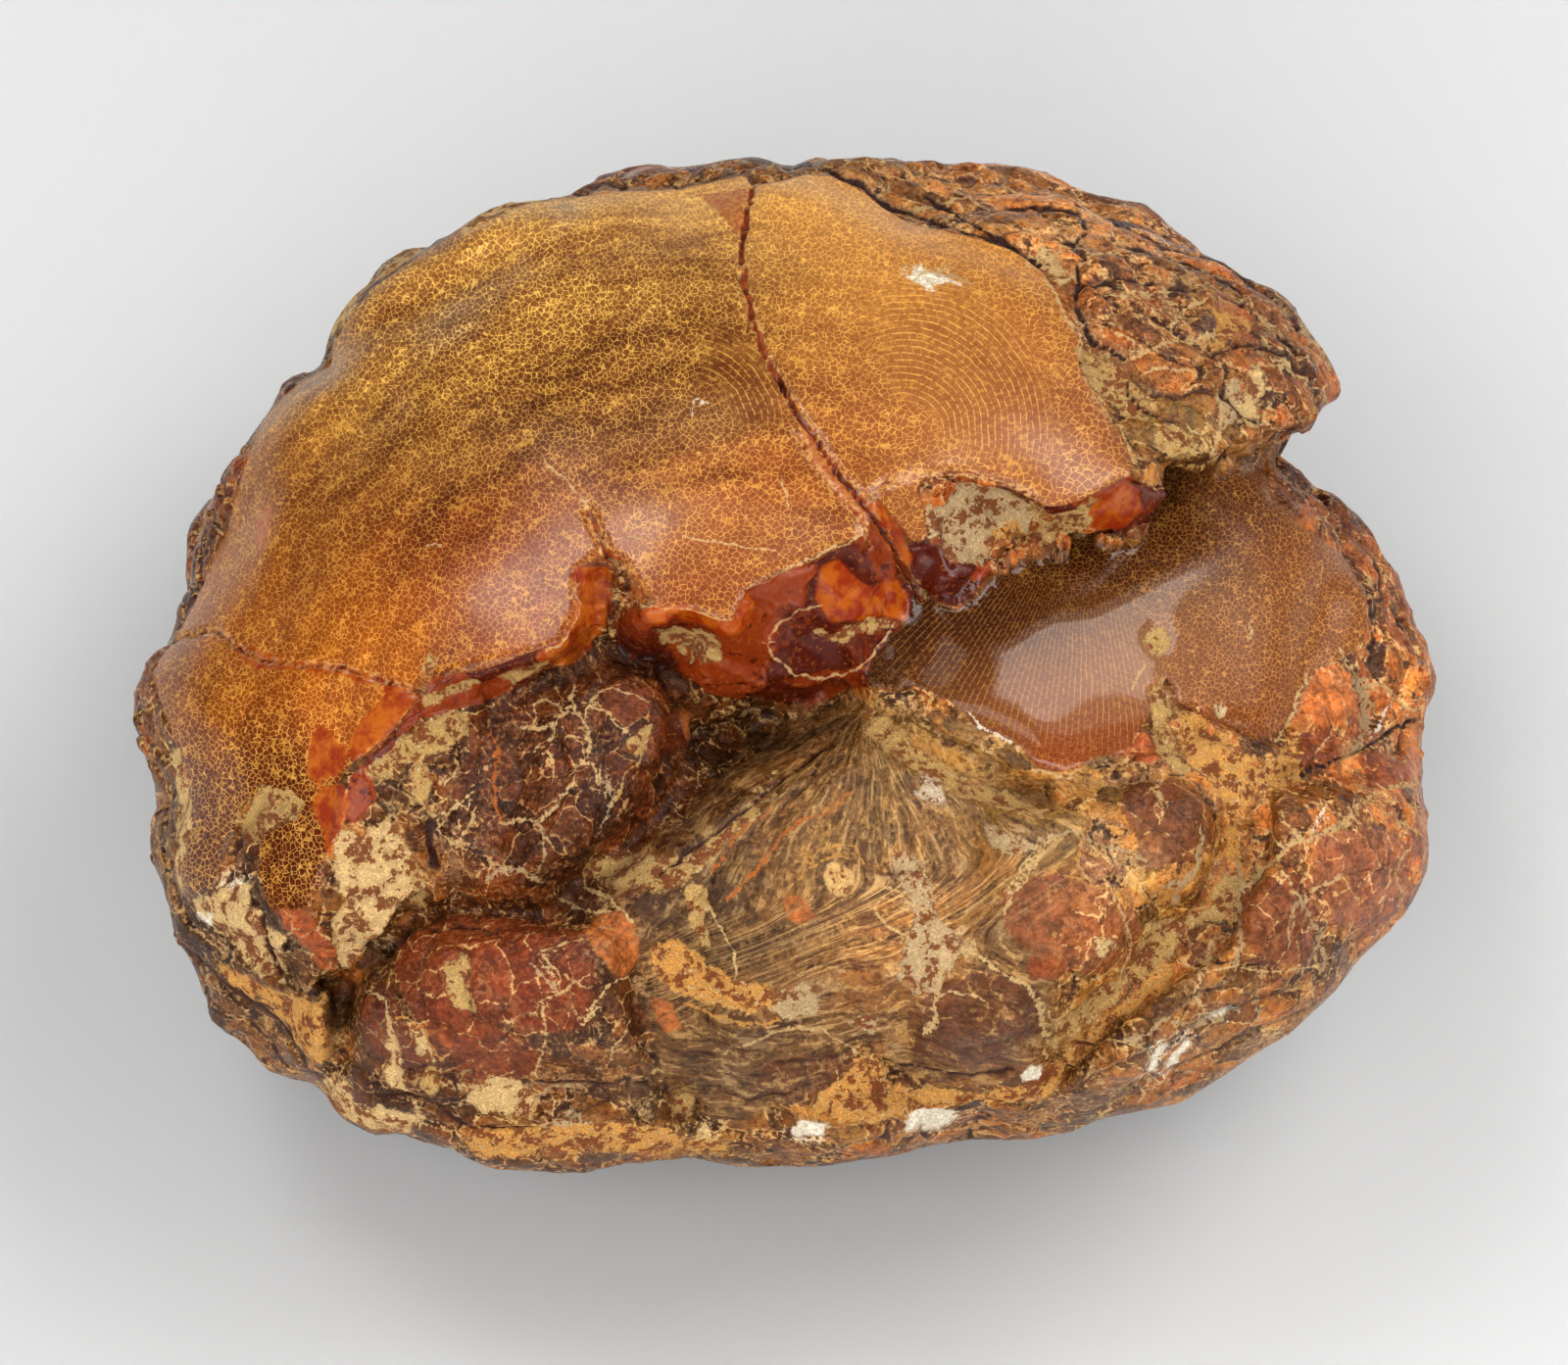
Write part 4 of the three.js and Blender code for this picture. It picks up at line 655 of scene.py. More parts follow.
    (CREAM,.16,.0,[[690,548],[730,552],[760,558],[790,562]]), (WHITE,.18,.0,[[703,402],[712,412],[724,410]]), (WHITE,.14,.0,[[706,418],[716,408]]), (CREAM,.2,.0,[[432,560],[446,558]]), (CREAM,.3,.0,[[1156,700],[1160,690],[1164,680]]),
    (CREAM,.3,.0,[[1276,634],[1277,642],[1276,650]]), (CREAM,.2,.1,[[795,480],[803,500],[806,520]]), (CREAM,.24,.1,[[762,600],[800,582],[850,560],[880,546]]), (CREAM,.22,.1,[[640,617],[672,622],[702,620],[745,634]]),
    (CREAM,.26,.1,[[588,600],[590,625],[580,650],[560,662]]), (CREAM,.22,.1,[[785,655],[795,635],[815,622],[835,618]]), (CREAM,.22,.1,[[785,655],[792,675],[812,690],[840,695],[870,685],[892,668],[912,640]]),
    (CREAM,.2,.0,[[926,270],[940,278],[955,292]]), (CREAM,.2,.0,[[930,288],[944,278],[968,270]]), (GREY,.22,.1,[[955,280],[975,282],[990,288]]),
    (WHITE,.22,.1,[[988,728],[1000,742],[1030,755]]), (CREAM,.3,.2,[[1058,785],[1090,792],[1120,780],[1150,772]]),
    (CREAM,.3,.3,[[1040,262],[1060,275],[1076,300],[1090,325],[1104,352],[1104,372]]), (CREAM,.26,.3,[[1104,372],[1118,405],[1146,440],[1158,470]]),
]
CRACKS = [  # depth and half width in mm, line
    (2.6, 0.42, [[768,196],[762,215],[757,245],[758,280],[770,330],[783,365],[800,395],[820,430],[845,465],[862,490],[880,510],[905,545],[930,590],[942,612]]),
    (1.2, 0.35, [[813,440],[830,475],[850,500],[870,520],[884,545],[890,560]]),
    (1.0, 0.4, [[884,508],[905,492],[940,482],[990,480],[1030,495],[1058,505]]),
    (1.2, 0.4, [[140,672],[165,662],[185,650],[218,641],[235,656],[250,668],[300,678],[345,680],[400,697],[435,708]]),
    (1.0, 0.6, [[600,520],[612,545],[620,565],[640,580]]),
    (0.3, 0.35, [[712,195],[730,215],[757,245]]),
]
BUMPS = [  # u, v, half width and height in mm
    (1092, 935, 10, 1.7), (990, 1048, 8, 1.7), (1195, 838, 8, 1.4), (500, 1000, 13, 0.9), (1385, 895, 9, 1.3), (1412, 700, 6, 1.0),
    (1425, 830, 6, 0.8), (1318, 1010, 8, 0.9), (618, 1062, 7, 1.0), (398, 1045, 6, 0.8), (1150, 1052, 8, 1.1), (842, 870, 9, 1.0), (1300, 935, 7, 0.9),
    (858, 614, 4.6, 0.9), (908, 612, 3.2, 1.2), (820, 660, 5.0, -1.0), (700, 662, 4.0, -1.2), (652, 655, 3.5, 0.9),
    (930, 650, 3.0, 1.0), (1000, 530, 6.0, -2.2), (1030, 525, 4.0, -1.6), (1085, 540, 4.0, -1.0), (1180, 650, 1.6, -0.7),
    (600, 620, 3.0, 0.6), (960, 535, 3.5, -1.0), (1231, 302, 2.0, 1.2), (1226, 333, 2.6, 1.2), (1095, 222, 4.0, 1.4), (713, 674, 1.3, 1.0),
]
VALLEY = [[560,960],[600,900],[640,865],[700,815],[770,770],[830,735],[870,728],[920,748],[980,785],[1040,815],[1110,830],[1180,835]]


def linear(c):
    c = np.asarray(c, float) / 255
    return np.where(c < 0.04045, c / 12.92, ((c + 0.055) / 1.055) ** 2.4)


def mask(lines):
    """Signed distance in mm to the nearest of several outlines."""
    return Raster(lambda U, V: np.minimum.reduce([line_distance(U, V, l, True) for l in lines]))


setup()
amber = lump


def lump(P, want=False):
    """The amber lump, cut off flat where it rests."""
    if want:
        return amber(P, True)
    return np.maximum(amber(P), -P[..., 2])


COARSE, LO = 2.94, (-111.6, -102.6, -5.3)
verts, quads = extract(lump, LO, (76, 71, 41), COARSE)
tris = triangles(verts, quads)
verts = settle(verts, 3)
verts[verts[:, 2] < 0.05, 2] = 0


def seen(V, T):
    a, b, c = V[T[:, 0]], V[T[:, 1]], V[T[:, 2]]
    nrm = np.cross(b - a, c - a)
    nrm /= np.maximum(np.linalg.norm(nrm, axis=1, keepdims=True), 1e-9)
    eye = np.array([0, -COS, SIN]) * VIEW_DISTANCE + [0, 0, MIDDLE_Z]
    ray = eye - (a + b + c) / 3
    ray /= np.linalg.norm(ray, axis=1, keepdims=True)
    return (nrm * ray).sum(1)


skin_line, lens_line = mask([SKIN]), mask([LENS_SKIN])
verts, tris = refine(verts, tris, seen(verts, tris) > 0.05)
verts = settle(verts, 1)
verts[verts[:, 2] < 0.05, 2] = 0
f, U, V, through, h, part_of, d1, d2 = lump(verts, True)
plain = np.where(part_of == 100, skin_line(U, V), lens_line(U, V)) < -1.5  # smooth skin needs no finer mesh
for deep, wide, line in CRACKS:
    plain &= stroke(line)(U, V) > 1.3
verts, tris = refine(verts, tris, (seen(verts, tris) > 0.14) & ~plain[tris].all(1) & (through[tris].min(1) > -2))
verts = settle(verts, 1)
verts[verts[:, 2] < 0.05, 2] = 0
print("triangles", len(tris))

f, U, V, through, h, part_of, d1, d2 = lump(verts, True)
grad = gradient(verts)
normal = grad / np.maximum(np.linalg.norm(grad, axis=1, keepdims=True), 1e-6)
P = verts
front = through > -4

# hollows: how much of the space just over the surface the lump itself fills; the material paints shade from it, darker
# in the hollows
hollow_shade = np.zeros(len(P))
for reach in (3.0, 7.0):
    hollow_shade += 0.5 * np.clip((reach * 0.85 - lump(P + normal * reach)) / reach, 0, 1)

# ---- what each point is made of: distances in mm, negative inside ---------------------------------------------
away = np.where(through > -2, -60.0, np.minimum(-through - 2, 40))  # the drawn regions end a little behind the outline
drawn = lambda lines: np.maximum(mask(lines)(U, V), away)
is_cap = part_of == 100
d_skin = np.where(is_cap, np.maximum(skin_line(U, V), away), 12.0)
d_lens = np.where(is_cap, 12.0, np.maximum(lens_line(U, V), away))
d_raw, d_glow, d_sliver = drawn(RAW), drawn(GLOW), drawn(SLIVER)
d_smooth = np.minimum(d_skin, d_lens)
rough_zone = smoothstep(-0.2, 0.9, d_smooth)
warp = np.stack([fbm(P / 13.0, 3, 5), fbm(P / 13.0, 3, 6), fbm(P / 13.0, 3, 7)], -1)
small = np.stack([fbm(P / 2.6, 2, 8), fbm(P / 2.6, 2, 9)], -1)
UW, VW = U + small[:, 0] * 6.0 + warp[:, 0] * 3.0, V + small[:, 1] * 6.0 + warp[:, 1] * 3.0  # drawn lines get a natural wobble


def patches(rows, reach=5.0):
    """Distance to the nearest of the coloured outlines, and its colour."""
    best, colour, ragged = np.full(len(P), 12.0), np.tile(linear((180, 136, 84)), (len(P), 1)), np.ones(len(P))
    for tint, line in rows:
        a = np.array(line, float)
        wide = math.sqrt(abs((a[:, 0] * np.roll(a[:, 1], -1) - a[:, 1] * np.roll(a[:, 0], -1)).sum()) / 2) / PER_MM
        lo, hi = a.min(0) - reach * PER_MM, a.max(0) + reach * PER_MM
        i = np.flatnonzero(front & (U > lo[0]) & (U < hi[0]) & (V > lo[1]) & (V < hi[1]))
        if not len(i):
            continue
        d = line_distance(UW[i], VW[i], line, True)
        near = d < best[i]
        best[i[near]], colour[i[near]], ragged[i[near]] = d[near], linear(tint), min(max(wide / 7.0, 0.2), 1)
    return np.maximum(best, away), colour, ragged


d_clay, clay_tint, ragged = patches(CLAY)
d_plate, plate_tint, _ = patches(PLATES)

# ---- drawn veins and creases -----------------------------------------------------------------------------------
line_off, line_side = np.full(len(P), 9.0), np.ones(len(P))  # distance to the nearest line and the side it lies on
line_wide, line_deep, line_tint = np.full(len(P), 0.3), np.zeros(len(P)), np.tile(linear(CREAM), (len(P), 1))
open_off, open_deep, open_wide = np.full(len(P), 9.0), np.zeros(len(P)), np.full(len(P), 0.5)
for tint, wide, deep, line in LINES:
    a = np.array(line, float)
    lo, hi = a.min(0) - 26, a.max(0) + 26
    i = np.flatnonzero(front & (U > lo[0]) & (U < hi[0]) & (V > lo[1]) & (V < hi[1]))
    if not len(i):
        continue
    best, side = np.full(len(i), 9.0), np.ones(len(i))
    for p, q in zip(a[:-1], a[1:]):
        d = q - p
        t = np.clip(((UW[i] - p[0]) * d[0] + (VW[i] - p[1]) * d[1]) / (d @ d), 0, 1)
        x, y = UW[i] - p[0] - t * d[0], VW[i] - p[1] - t * d[1]
        dist = np.hypot(x, y) / PER_MM
        near = dist < best
        best = np.where(near, dist, best)
        side = np.where(near, np.sign(d[0] * y - d[1] * x) + 1e-9, side)
    if tint is None:
        near = best - wide < open_off[i] - open_wide[i]
        j = i[near]
        open_off[j], open_deep[j], open_wide[j] = best[near], deep, wide
    else:
        near = best - wide < line_off[i] - line_wide[i]
        j = i[near]
        line_off[j], line_side[j], line_wide[j], line_deep[j], line_tint[j] = best[near], side[near], wide, deep, linear(tint)

# ---- zones of the crust -----------------------------------------------------------------------------------------
zone = {}
for name in ("knob", "tooth", "swirl", "ear", "belt", "lower_left", "ridge", "ledge", "under_left"):
    zone[name] = smoothstep(1.5, -1.5, F[name](U, V)) * (through > -4) * ~is_cap
w_knob = np.maximum(zone["knob"], 0.5 * zone["tooth"])
w_swirl = np.maximum(zone["swirl"], 0.4 * zone["ridge"]) * (1 - w_knob)
w_plate = np.clip(zone["ear"] + zone["belt"] + zone["lower_left"], 0, 1) * (1 - w_knob) * (1 - 0.7 * w_swirl)
w_roof = np.clip(1 - w_knob - w_swirl - w_plate, 0, 1)

# ---- relief ---------------------------------------------------------------------------------------------------
turn = np.array([[0.84, -0.50, -0.20], [0.46, 0.86, -0.20], [0.27, 0.08, 0.96]])
Q = P @ turn.T
# shingled crust: long rounded plates, each tilted a little over the next
scale = np.array([14.0, 6.2, 6.2])
Q1 = Q / scale + warp * 0.55
near_1, gap_a, nums_a, near_a = cells(Q1, 11, 0.85)
lean = ((Q1 - near_a) * [0.2, 1.0, 0.5]).sum(1)
roof = 1.5 * (0.45 - near_1 ** 2) + 1.1 * lean - 0.75 * np.exp(-(gap_a * 6.2 / 0.5) ** 2)
Q2 = Q / (6.0, 2.8, 2.8) + warp * 1.2
near_2, gap_d, nums_d, near_d = cells(Q2, 23, 0.9)
roof += 0.6 * (0.45 - near_2 ** 2) - 0.25 * np.exp(-(gap_d * 2.8 / 0.35) ** 2)
roof += 0.5 * (0.45 - np.abs(noise(Q / (24.0, 7.5, 7.5) + warp * 0.7, 12))) + 0.12 * fbm(P / 4.5, 3, 13, 0.6)
# wide plates with thin cracks
Q3 = P / 15.0 + warp * 0.5
near_3, gap_b, nums_b, near_b = cells(Q3, 14)
Q4 = P / 5.5 + warp * 1.0
near_4, gap_c, nums_c, near_c = cells(Q4, 15)
plates = -0.85 * np.exp(-(gap_b * 15.0 / 0.5) ** 2) + 0.8 * ((Q3 - near_b) * (nums_b * 2 - 1)).sum(1) + 0.8 * (0.4 - near_3 ** 2)
plates += -0.35 * np.exp(-(gap_c * 5.5 / 0.4) ** 2) + 0.25 * ((Q4 - near_c) * (nums_c * 2 - 1)).sum(1) * smoothstep(0.0, 0.1, gap_c)
plates += 0.15 * fbm(P / 5.0, 3, 16, 0.55)
# the wrinkled knob
wrinkle = np.abs(noise(P / 6.5 + warp * 0.9, 17))
wrinkle2 = np.abs(noise(P / 3.0 + warp * 1.4, 18))
knobby = 0.7 * smoothstep(0.0, 0.3, wrinkle) + 0.22 * smoothstep(0.0, 0.35, wrinkle2) - 0.5
# the fibrous folds: a fan from the hollow under the cap, and wavy bands below it
du, dv = (U - 885) / PER_MM, (V - 715) / PER_MM
fan_r, fan_angle = np.hypot(du, dv), np.arctan2(dv, du)
down = smoothstep(900, 1010, V + 0.25 * (U - 880))
across = (1 - down) * fan_angle * 26.0 + down * (dv - 30 - 0.10 * np.abs(du) + 2.0 * np.sin(du / 7.5)) + 2.6 * warp[:, 0]
along = (1 - down) * fan_r + down * (du + 20)
flow = np.stack([across, along * 0.22 + warp[:, 1] * 1.6, 0.12 * through], -1)
one, gap_f, nums_f, near_f = cells(flow / (3.4, 3.4, 3.4) + warp * 0.35, 25)
fibre = -0.25 * np.exp(-(gap_f * 3.4 / 0.4) ** 2) + 0.5 * (0.4 - one ** 2)
fibre += 0.45 * fbm(flow / (2.6, 2.6, 2.6), 2, 20, 0.5) + 0.9 * (0.45 - np.abs(noise(flow / (7.0, 7.0, 7.0), 21))) + 0.3 * fbm(P / 7.0, 2, 22)
# folds that follow the outline at the lower left and along the bottom edge
rim = (1 - np.hypot((U - OUT_U), (OUT_V - V)) / PER_MM / np.maximum(np.interp(np.degrees(np.arctan2(OUT_V - V, U - OUT_U)) % 360, np.arange(361), np.append(RADII, RADII[0])), 1)) * 90
folded = smoothstep(14, 8, rim) * smoothstep(880, 960, V) * (through > -6)
fold_height = 0.9 * (0.45 - np.abs(noise(np.stack([rim / 3.6 + warp[:, 0] * 1.3, (U + 0.4 * V) / 130.0, through / 30.0], -1), 26)))
relief = w_roof * roof + w_plate * plates + w_knob * knobby + w_swirl * fibre
relief = relief * (1 - 0.55 * folded) + 1.3 * folded * fold_height - 0.15 - 0.35 * w_roof
# drawn creases and veins
near_crease = np.exp(-(open_off / np.maximum(open_wide, 0.45)) ** 2)
near_vein = np.exp(-(line_off / np.maximum(line_wide * 1.2, 0.5)) ** 2)
calm = 1 - 0.35 * np.exp(-(np.minimum(open_off, line_off) / 2.5) ** 2)
relief = relief * calm * rough_zone
groove = open_deep * (0.6 * near_crease + 0.28 * np.exp(-(open_off / 2.6) ** 2))
groove += line_deep * (0.4 * near_vein + 0.45 * np.exp(-(line_off / 2.4) ** 2))
groove *= np.maximum(rough_zone, 0.25)
low = (1.2 * groove - np.clip(relief + 0.15 + 0.35 * w_roof, -2, 2) * rough_zone)
seams = np.clip(w_roof * gap_a * 6.2 + w_plate * gap_b * 15.0 + w_swirl * gap_f * 3.4 + w_knob * 4 + 4 * (1 - rough_zone), 0, 6)
# broken faces: a few flat, shell-like chips
raw_zone = smoothstep(0.6, -0.6, np.minimum(d_raw, d_glow)) * rough_zone
one_r, gap_r, nums_r, near_r = cells(P / 11.0 + warp * 0.3, 31)
shells = ((P / 11.0 + warp * 0.3 - near_r) * (nums_r * 2 - 1)).sum(1) * 1.5 + 0.12 * fbm(P / 2.4, 2, 32)
relief = relief * (1 - raw_zone) + raw_zone * shells
clay_zone = smoothstep(0.9, -0.9, d_clay) * rough_zone
relief = relief * (1 - 0.6 * clay_zone) + clay_zone * (0.55 * fbm(P / 3.0, 3, 41, 0.6) + 0.25 * fbm(P / 1.4, 2, 42) - 0.5)
chips = smoothstep(0.6, -0.6, d_plate) * rough_zone
relief = relief * (1 - 0.5 * chips) + 0.15 * chips
relief = relief - groove
for u, v, wide, high in BUMPS:
    d = np.hypot(U - u, V - v) / PER_MM
    relief += high * np.exp(-(d / wide) ** 2) * (through > 0) * (is_cap if v < 710 and u < 1060 else 1)
crack_depth = np.zeros(len(P))
for deep, wide, line in CRACKS:
    d = stroke(line)(U + small[:, 0] * 4, V + small[:, 1] * 4)
    crack_depth = np.maximum(crack_depth, 0.9 * deep * np.exp(-(d / (0.85 * wide)) ** 2) * (through > -4))
relief = relief - crack_depth
skin_zone = 1 - rough_zone
relief += skin_zone * (0.05 * fbm(P / 12.0, 2, 61))
angle = np.degrees(np.arctan2(OUT_V - V, U - OUT_U)) % 360
trim = np.interp(angle, [0, 6, 12, 18, 30, 42, 54, 60, 66, 72, 80, 87, 93, 102, 108, 118, 138, 156, 166, 180, 192, 204, 215, 224, 234, 244, 258, 270, 282, 294, 304, 316, 330, 348, 360],
                 [-0.4, 1.5, 1.5, -0.4, 1.4, 0.5, -1.2, -1.8, -3.0, -2.6, 1.0, 2.4, 0.9, -1.0, -0.4, 1.6, 1.4, 0.9, -2.2, 0.6, -0.9, 1.8, -2.4, 1.0, 1.0, -1.2, 0.2, -1.6, -1.0, -1.6, 0.4, -1.0, 0.4, -1.2, -0.6])
relief += trim * smoothstep(13, 4, rim) * smoothstep(-18, -3, through)
relief *= smoothstep(0.0, 3.0, P[:, 2])  # none on the flat spot
relief = np.clip(relief, -4, 2.6)
# where the mesh is coarse, only the relief that it can carry
edges = np.concatenate([tris[:, [0, 1]], tris[:, [1, 2]], tris[:, [2, 0]]])
span = np.linalg.norm(P[edges[:, 0]] - P[edges[:, 1]], axis=1)
count, total, size = np.zeros(len(P)), np.zeros(len(P)), np.zeros(len(P))
for a, b in ((0, 1), (1, 0)):
    np.add.at(count, edges[:, a], 1)
    np.add.at(size, edges[:, a], span)
for again in range(2):
    total[:] = 0
    for a, b in ((0, 1), (1, 0)):
        np.add.at(total, edges[:, a], relief[edges[:, b]])
    relief += (total / count - relief) * 0.6 * smoothstep(0.9, 1.7, size / count)
verts = P + normal * relief[:, None]
verts[P[:, 2] <= 0, 2] = 0
verts[:, 2] = np.maximum(verts[:, 2], 0)

# ---- coordinates that the finest cracks are made in -------------------------------------------------------------
web = np.where((w_swirl > 0.5)[:, None], flow * [0.6, 1.0, 1.0], np.where((w_roof > 0.5)[:, None], Q * [0.55, 1.0, 1.0], P * 0.9)) + warp * 2.6
t, b = ((U - 800) * 0.8 + (V - 600) * 0.6) / PER_MM, ((V - 600) * 0.8 - (U - 800) * 0.6) / PER_MM
size = 1.12 - 0.22 * np.tanh(t / 30.0)  # finer to the upper left
net = np.where((through > 2)[:, None], np.stack([1.12 * t - 0.22 * 30.0 * np.log(np.cosh(t / 30.0)), b * size, through * 0.5], -1), P)
split = np.interp(V, [200, 320, 400, 500, 620], [762, 765, 805, 880, 940])
net = np.where(((d_lens < 3) & (through > 2))[:, None], net * 1.6, net)
rows, row_of = np.zeros(len(P)), np.zeros((len(P), 3))
for cu, cv, r0, r1, turned, spread, pitch, along_k, radial, where in (
        (924, 440, 4.5, 27.0, -0.80, 1.30, 1.0, 13.0, False, (d_skin < 2) & (U > split)),
        (700, 435, 7.0, 18.0, -0.70, 0.80, 1.05, 10.0, False, (d_skin < 2) & (U < split)),
        (1113, 470, 20.0, 52.0, 1.90, 0.75, 0.72, 31.0, True, d_lens < 2)):
    du, dv = (U - cu) / PER_MM + 0.8 * warp[:, 0], (V - cv) / PER_MM + 0.8 * warp[:, 1]
    r, angle = np.hypot(du, dv), np.arctan2(dv, du)
    angle = (angle - turned + math.pi) % (2 * math.pi) - math.pi
    w = smoothstep(r0 * 0.8, r0 * 1.4, r) * smoothstep(r1, r1 * 0.72, r) * smoothstep(spread, spread * 0.6, np.abs(angle)) * where * (through > 0)
    inner = (r < r1 * 1.1) & (np.abs(angle) < spread * 1.3) & where
    lines = np.stack([angle * along_k / pitch, r, r * 0], -1) if radial else np.stack([r / pitch, angle * along_k, r * 0], -1)
    row_of = np.where((inner & (w >= rows))[:, None], lines, row_of)
    rows = np.maximum(rows, w)
# streaks in the skin, running round the dome
du, dv = (U - 760) / PER_MM, (V - 900) / PER_MM
sweep = np.stack([np.hypot(du, dv) * 0.60 + 1.5 * warp[:, 0], np.arctan2(dv, du) * 8.0, through * 0.2], -1)
streaky = (1 - 0.5 * smoothstep(460, 380, U) * smoothstep(480, 560, V)) * np.clip(0.25 + 0.75 * smoothstep(60, -60, U - split) - 0.6 * smoothstep(480, 560, V) * smoothstep(420, 520, U), 0.2, 1) * (is_cap > 0)
matte = np.maximum(smoothstep(520, 240, V + 0.25 * (U - 500)) * is_cap, smoothstep(1200, 1270, U - 0.3 * (V - 600)) * (d_lens < 3))

# ---- tones: soft patches, the colour in sRGB -------------------------------------------------------------------
SKIN_TONES = [  # u, v, reach along and across in mm, turn in degrees, colour, strength
    (560, 290, 34, 16, -25, (220, 176, 96), 1.3),
    (640, 230, 30, 8, -8, (224, 180, 104), 1.2),
    (430, 330, 18, 12, -40, (200, 156, 84), 1.0),
    (660, 440, 20, 5, -8, (134, 94, 68), 1.5),
    (462, 335, 4.5, 2.2, -35, (190, 164, 128), 4.0),
    (578, 225, 1.6, 3.0, 10, (196, 168, 128), 3.0),
    (670, 500, 6, 4, 0, (224, 160, 92), 1.0),
    (560, 410, 26, 6, -20, (146, 94, 42), 0.9),
    (470, 470, 26, 5, -32, (132, 82, 36), 0.9),
    (735, 290, 7, 14, 75, (126, 84, 48), 1.1),
    (700, 350, 12, 8, 0, (160, 112, 56), 0.8),
    (540, 350, 26, 6, -20, (168, 122, 50), 0.9),
    (270, 560, 14, 26, 25, (166, 100, 36), 1.1),
    (330, 640, 22, 9, 8, (212, 126, 36), 1.5),
    (420, 590, 14, 12, 0, (176, 90, 30), 1.0),
    (520, 540, 18, 8, -10, (140, 62, 26), 1.2),
    (520, 620, 16, 10, 0, (166, 84, 50), 1.2),
    (640, 500, 18, 6, 10, (178, 106, 56), 0.9),
    (740, 540, 20, 8, 10, (188, 126, 84), 1.1),
    (730, 600, 14, 5, 0, (170, 92, 56), 0.9),
    (800, 500, 8, 12, 40, (190, 112, 58), 0.8),
    (880, 300, 20, 16, 30, (206, 148, 76), 1.4),
    (980, 420, 18, 14, 30, (180, 122, 76), 1.2),
    (870, 430, 10, 14, 20, (170, 100, 54), 0.9),
    (1080, 450, 12, 12, 0, (172, 112, 78), 1.2),
    (880, 220, 22, 7, 10, (222, 164, 92), 1.4),
    (1060, 340, 6, 14, -30, (196, 130, 66), 0.8),
    (230, 720, 16, 10, 0, (188, 112, 34), 1.3),
    (330, 720, 14, 7, 20, (206, 112, 26), 1.2),
    (180, 760, 5, 16, 0, (140, 76, 30), 1.1),
    (240, 800, 10, 8, 0, (150, 84, 24), 1.2),
    (210, 870, 8, 12, 0, (132, 68, 20), 1.2),
    (310, 870, 8, 12, 0, (136, 66, 18), 1.4),
    (350, 820, 4, 8, 0, (170, 76, 24), 1.4),
]
LENS_TONES = [
    # the first three rows darken the lens just under the cap's rim: painted shade of the overhang
    (980, 640, 20, 9, -28, (76, 30, 8), 1.9),
    (1120, 580, 26, 8, -20, (72, 28, 8), 1.9),
    (1240, 520, 12, 8, -30, (100, 50, 18), 1.2),
    # the next two rows are partly painted reflection: a paler, greyer tone where the right lamp's veil lies on the lens
    (1210, 670, 26, 10, -8, (184, 128, 78), 1.4),
    (1060, 720, 20, 8, 10, (160, 104, 70), 1.1),
    (1140, 740, 14, 6, 0, (184, 104, 60), 1.0),
    (1260, 620, 16, 12, 0, (136, 80, 38), 1.0),
    (1330, 600, 9, 16, -30, (178, 106, 50), 1.2),
    (1290, 500, 8, 6, 0, (150, 84, 44), 1.0),
    (1280, 710, 12, 8, 0, (170, 92, 46), 1.1),
    (1110, 770, 12, 3, 0, (190, 84, 44), 1.0),
]
CRUST_TONES = [
    (1000, 190, 26, 6, 6, (166, 118, 90), 1.0),
    (1120, 240, 20, 8, 30, (170, 116, 90), 1.0),
    (1200, 310, 22, 10, 30, (150, 98, 68), 1.0),
    (1300, 360, 12, 10, 30, (146, 82, 50), 1.0),
    (1150, 430, 8, 8, 0, (176, 124, 76), 1.0),
    (1220, 440, 10, 6, 0, (150, 116, 80), 1.0),
    (1400, 690, 8, 20, 0, (164, 96, 56), 1.0),
    (1350, 900, 14, 20, 0, (166, 108, 72), 1.0),
    (1430, 820, 6, 18, 0, (176, 104, 62), 1.0),
    (1290, 1030, 18, 12, -20, (164, 110, 72), 1.0),
    (1180, 1090, 26, 7, -15, (152, 102, 68), 1.0),
    # partly painted sheen: the ear's tone is paler for its glossy sheen
    (1130, 870, 18, 14, 0, (182, 136, 96), 1.2),
    (1010, 1010, 18, 14, 0, (136, 94, 60), 1.1),
    (1000, 1070, 16, 6, 0, (96, 58, 46), 1.0),
    (940, 800, 18, 10, 0, (150, 122, 84), 1.1),
    (820, 850, 18, 14, -40, (148, 104, 62), 1.0),
    (860, 960, 20, 14, 0, (158, 112, 70), 1.0),
    (740, 990, 16, 14, 0, (122, 86, 52), 1.1),
    (780, 1090, 20, 9, 0, (112, 82, 62), 1.0),
    (700, 1120, 12, 8, 0, (96, 68, 50), 0.9),
    # painted shade: a darker tone in the gap under the cap
    (740, 780, 12, 8, -30, (92, 52, 30), 1.2),
    (580, 790, 20, 18, 0, (78, 40, 32), 2.4),
    (665, 800, 6, 14, 0, (122, 52, 28), 1.2),
    (470, 830, 6, 14, 0, (110, 56, 40), 1.2),
    (380, 880, 10, 14, 0, (176, 120, 76), 1.0),
    (450, 1000, 16, 12, 0, (152, 84, 48), 1.2),
    (570, 980, 16, 10, 0, (132, 70, 46), 1.2),
    (600, 1060, 16, 10, 0, (120, 76, 62), 1.1),
    (420, 1100, 12, 8, 0, (140, 78, 46), 1.0),
    (520, 1150, 26, 6, 5, (152, 98, 56), 1.0),
    (820, 1160, 30, 6, 0, (166, 112, 56), 1.0),
    (1050, 1130, 26, 5, 0, (150, 98, 50), 1.0),
    (240, 960, 10, 16, 30, (112, 72, 44), 1.1),
    (200, 1000, 8, 14, 30, (84, 58, 44), 1.0),
    (310, 1060, 10, 8, 0, (152, 108, 62), 1.0),
    (175, 860, 5, 20, 0, (150, 110, 84), 1.0),
    (380, 300, 12, 6, -40, (170, 122, 70), 1.0),
    (620, 190, 26, 4, -8, (166, 112, 74), 1.0),
    (860, 175, 14, 4, 5, (150, 104, 74), 1.0),
]


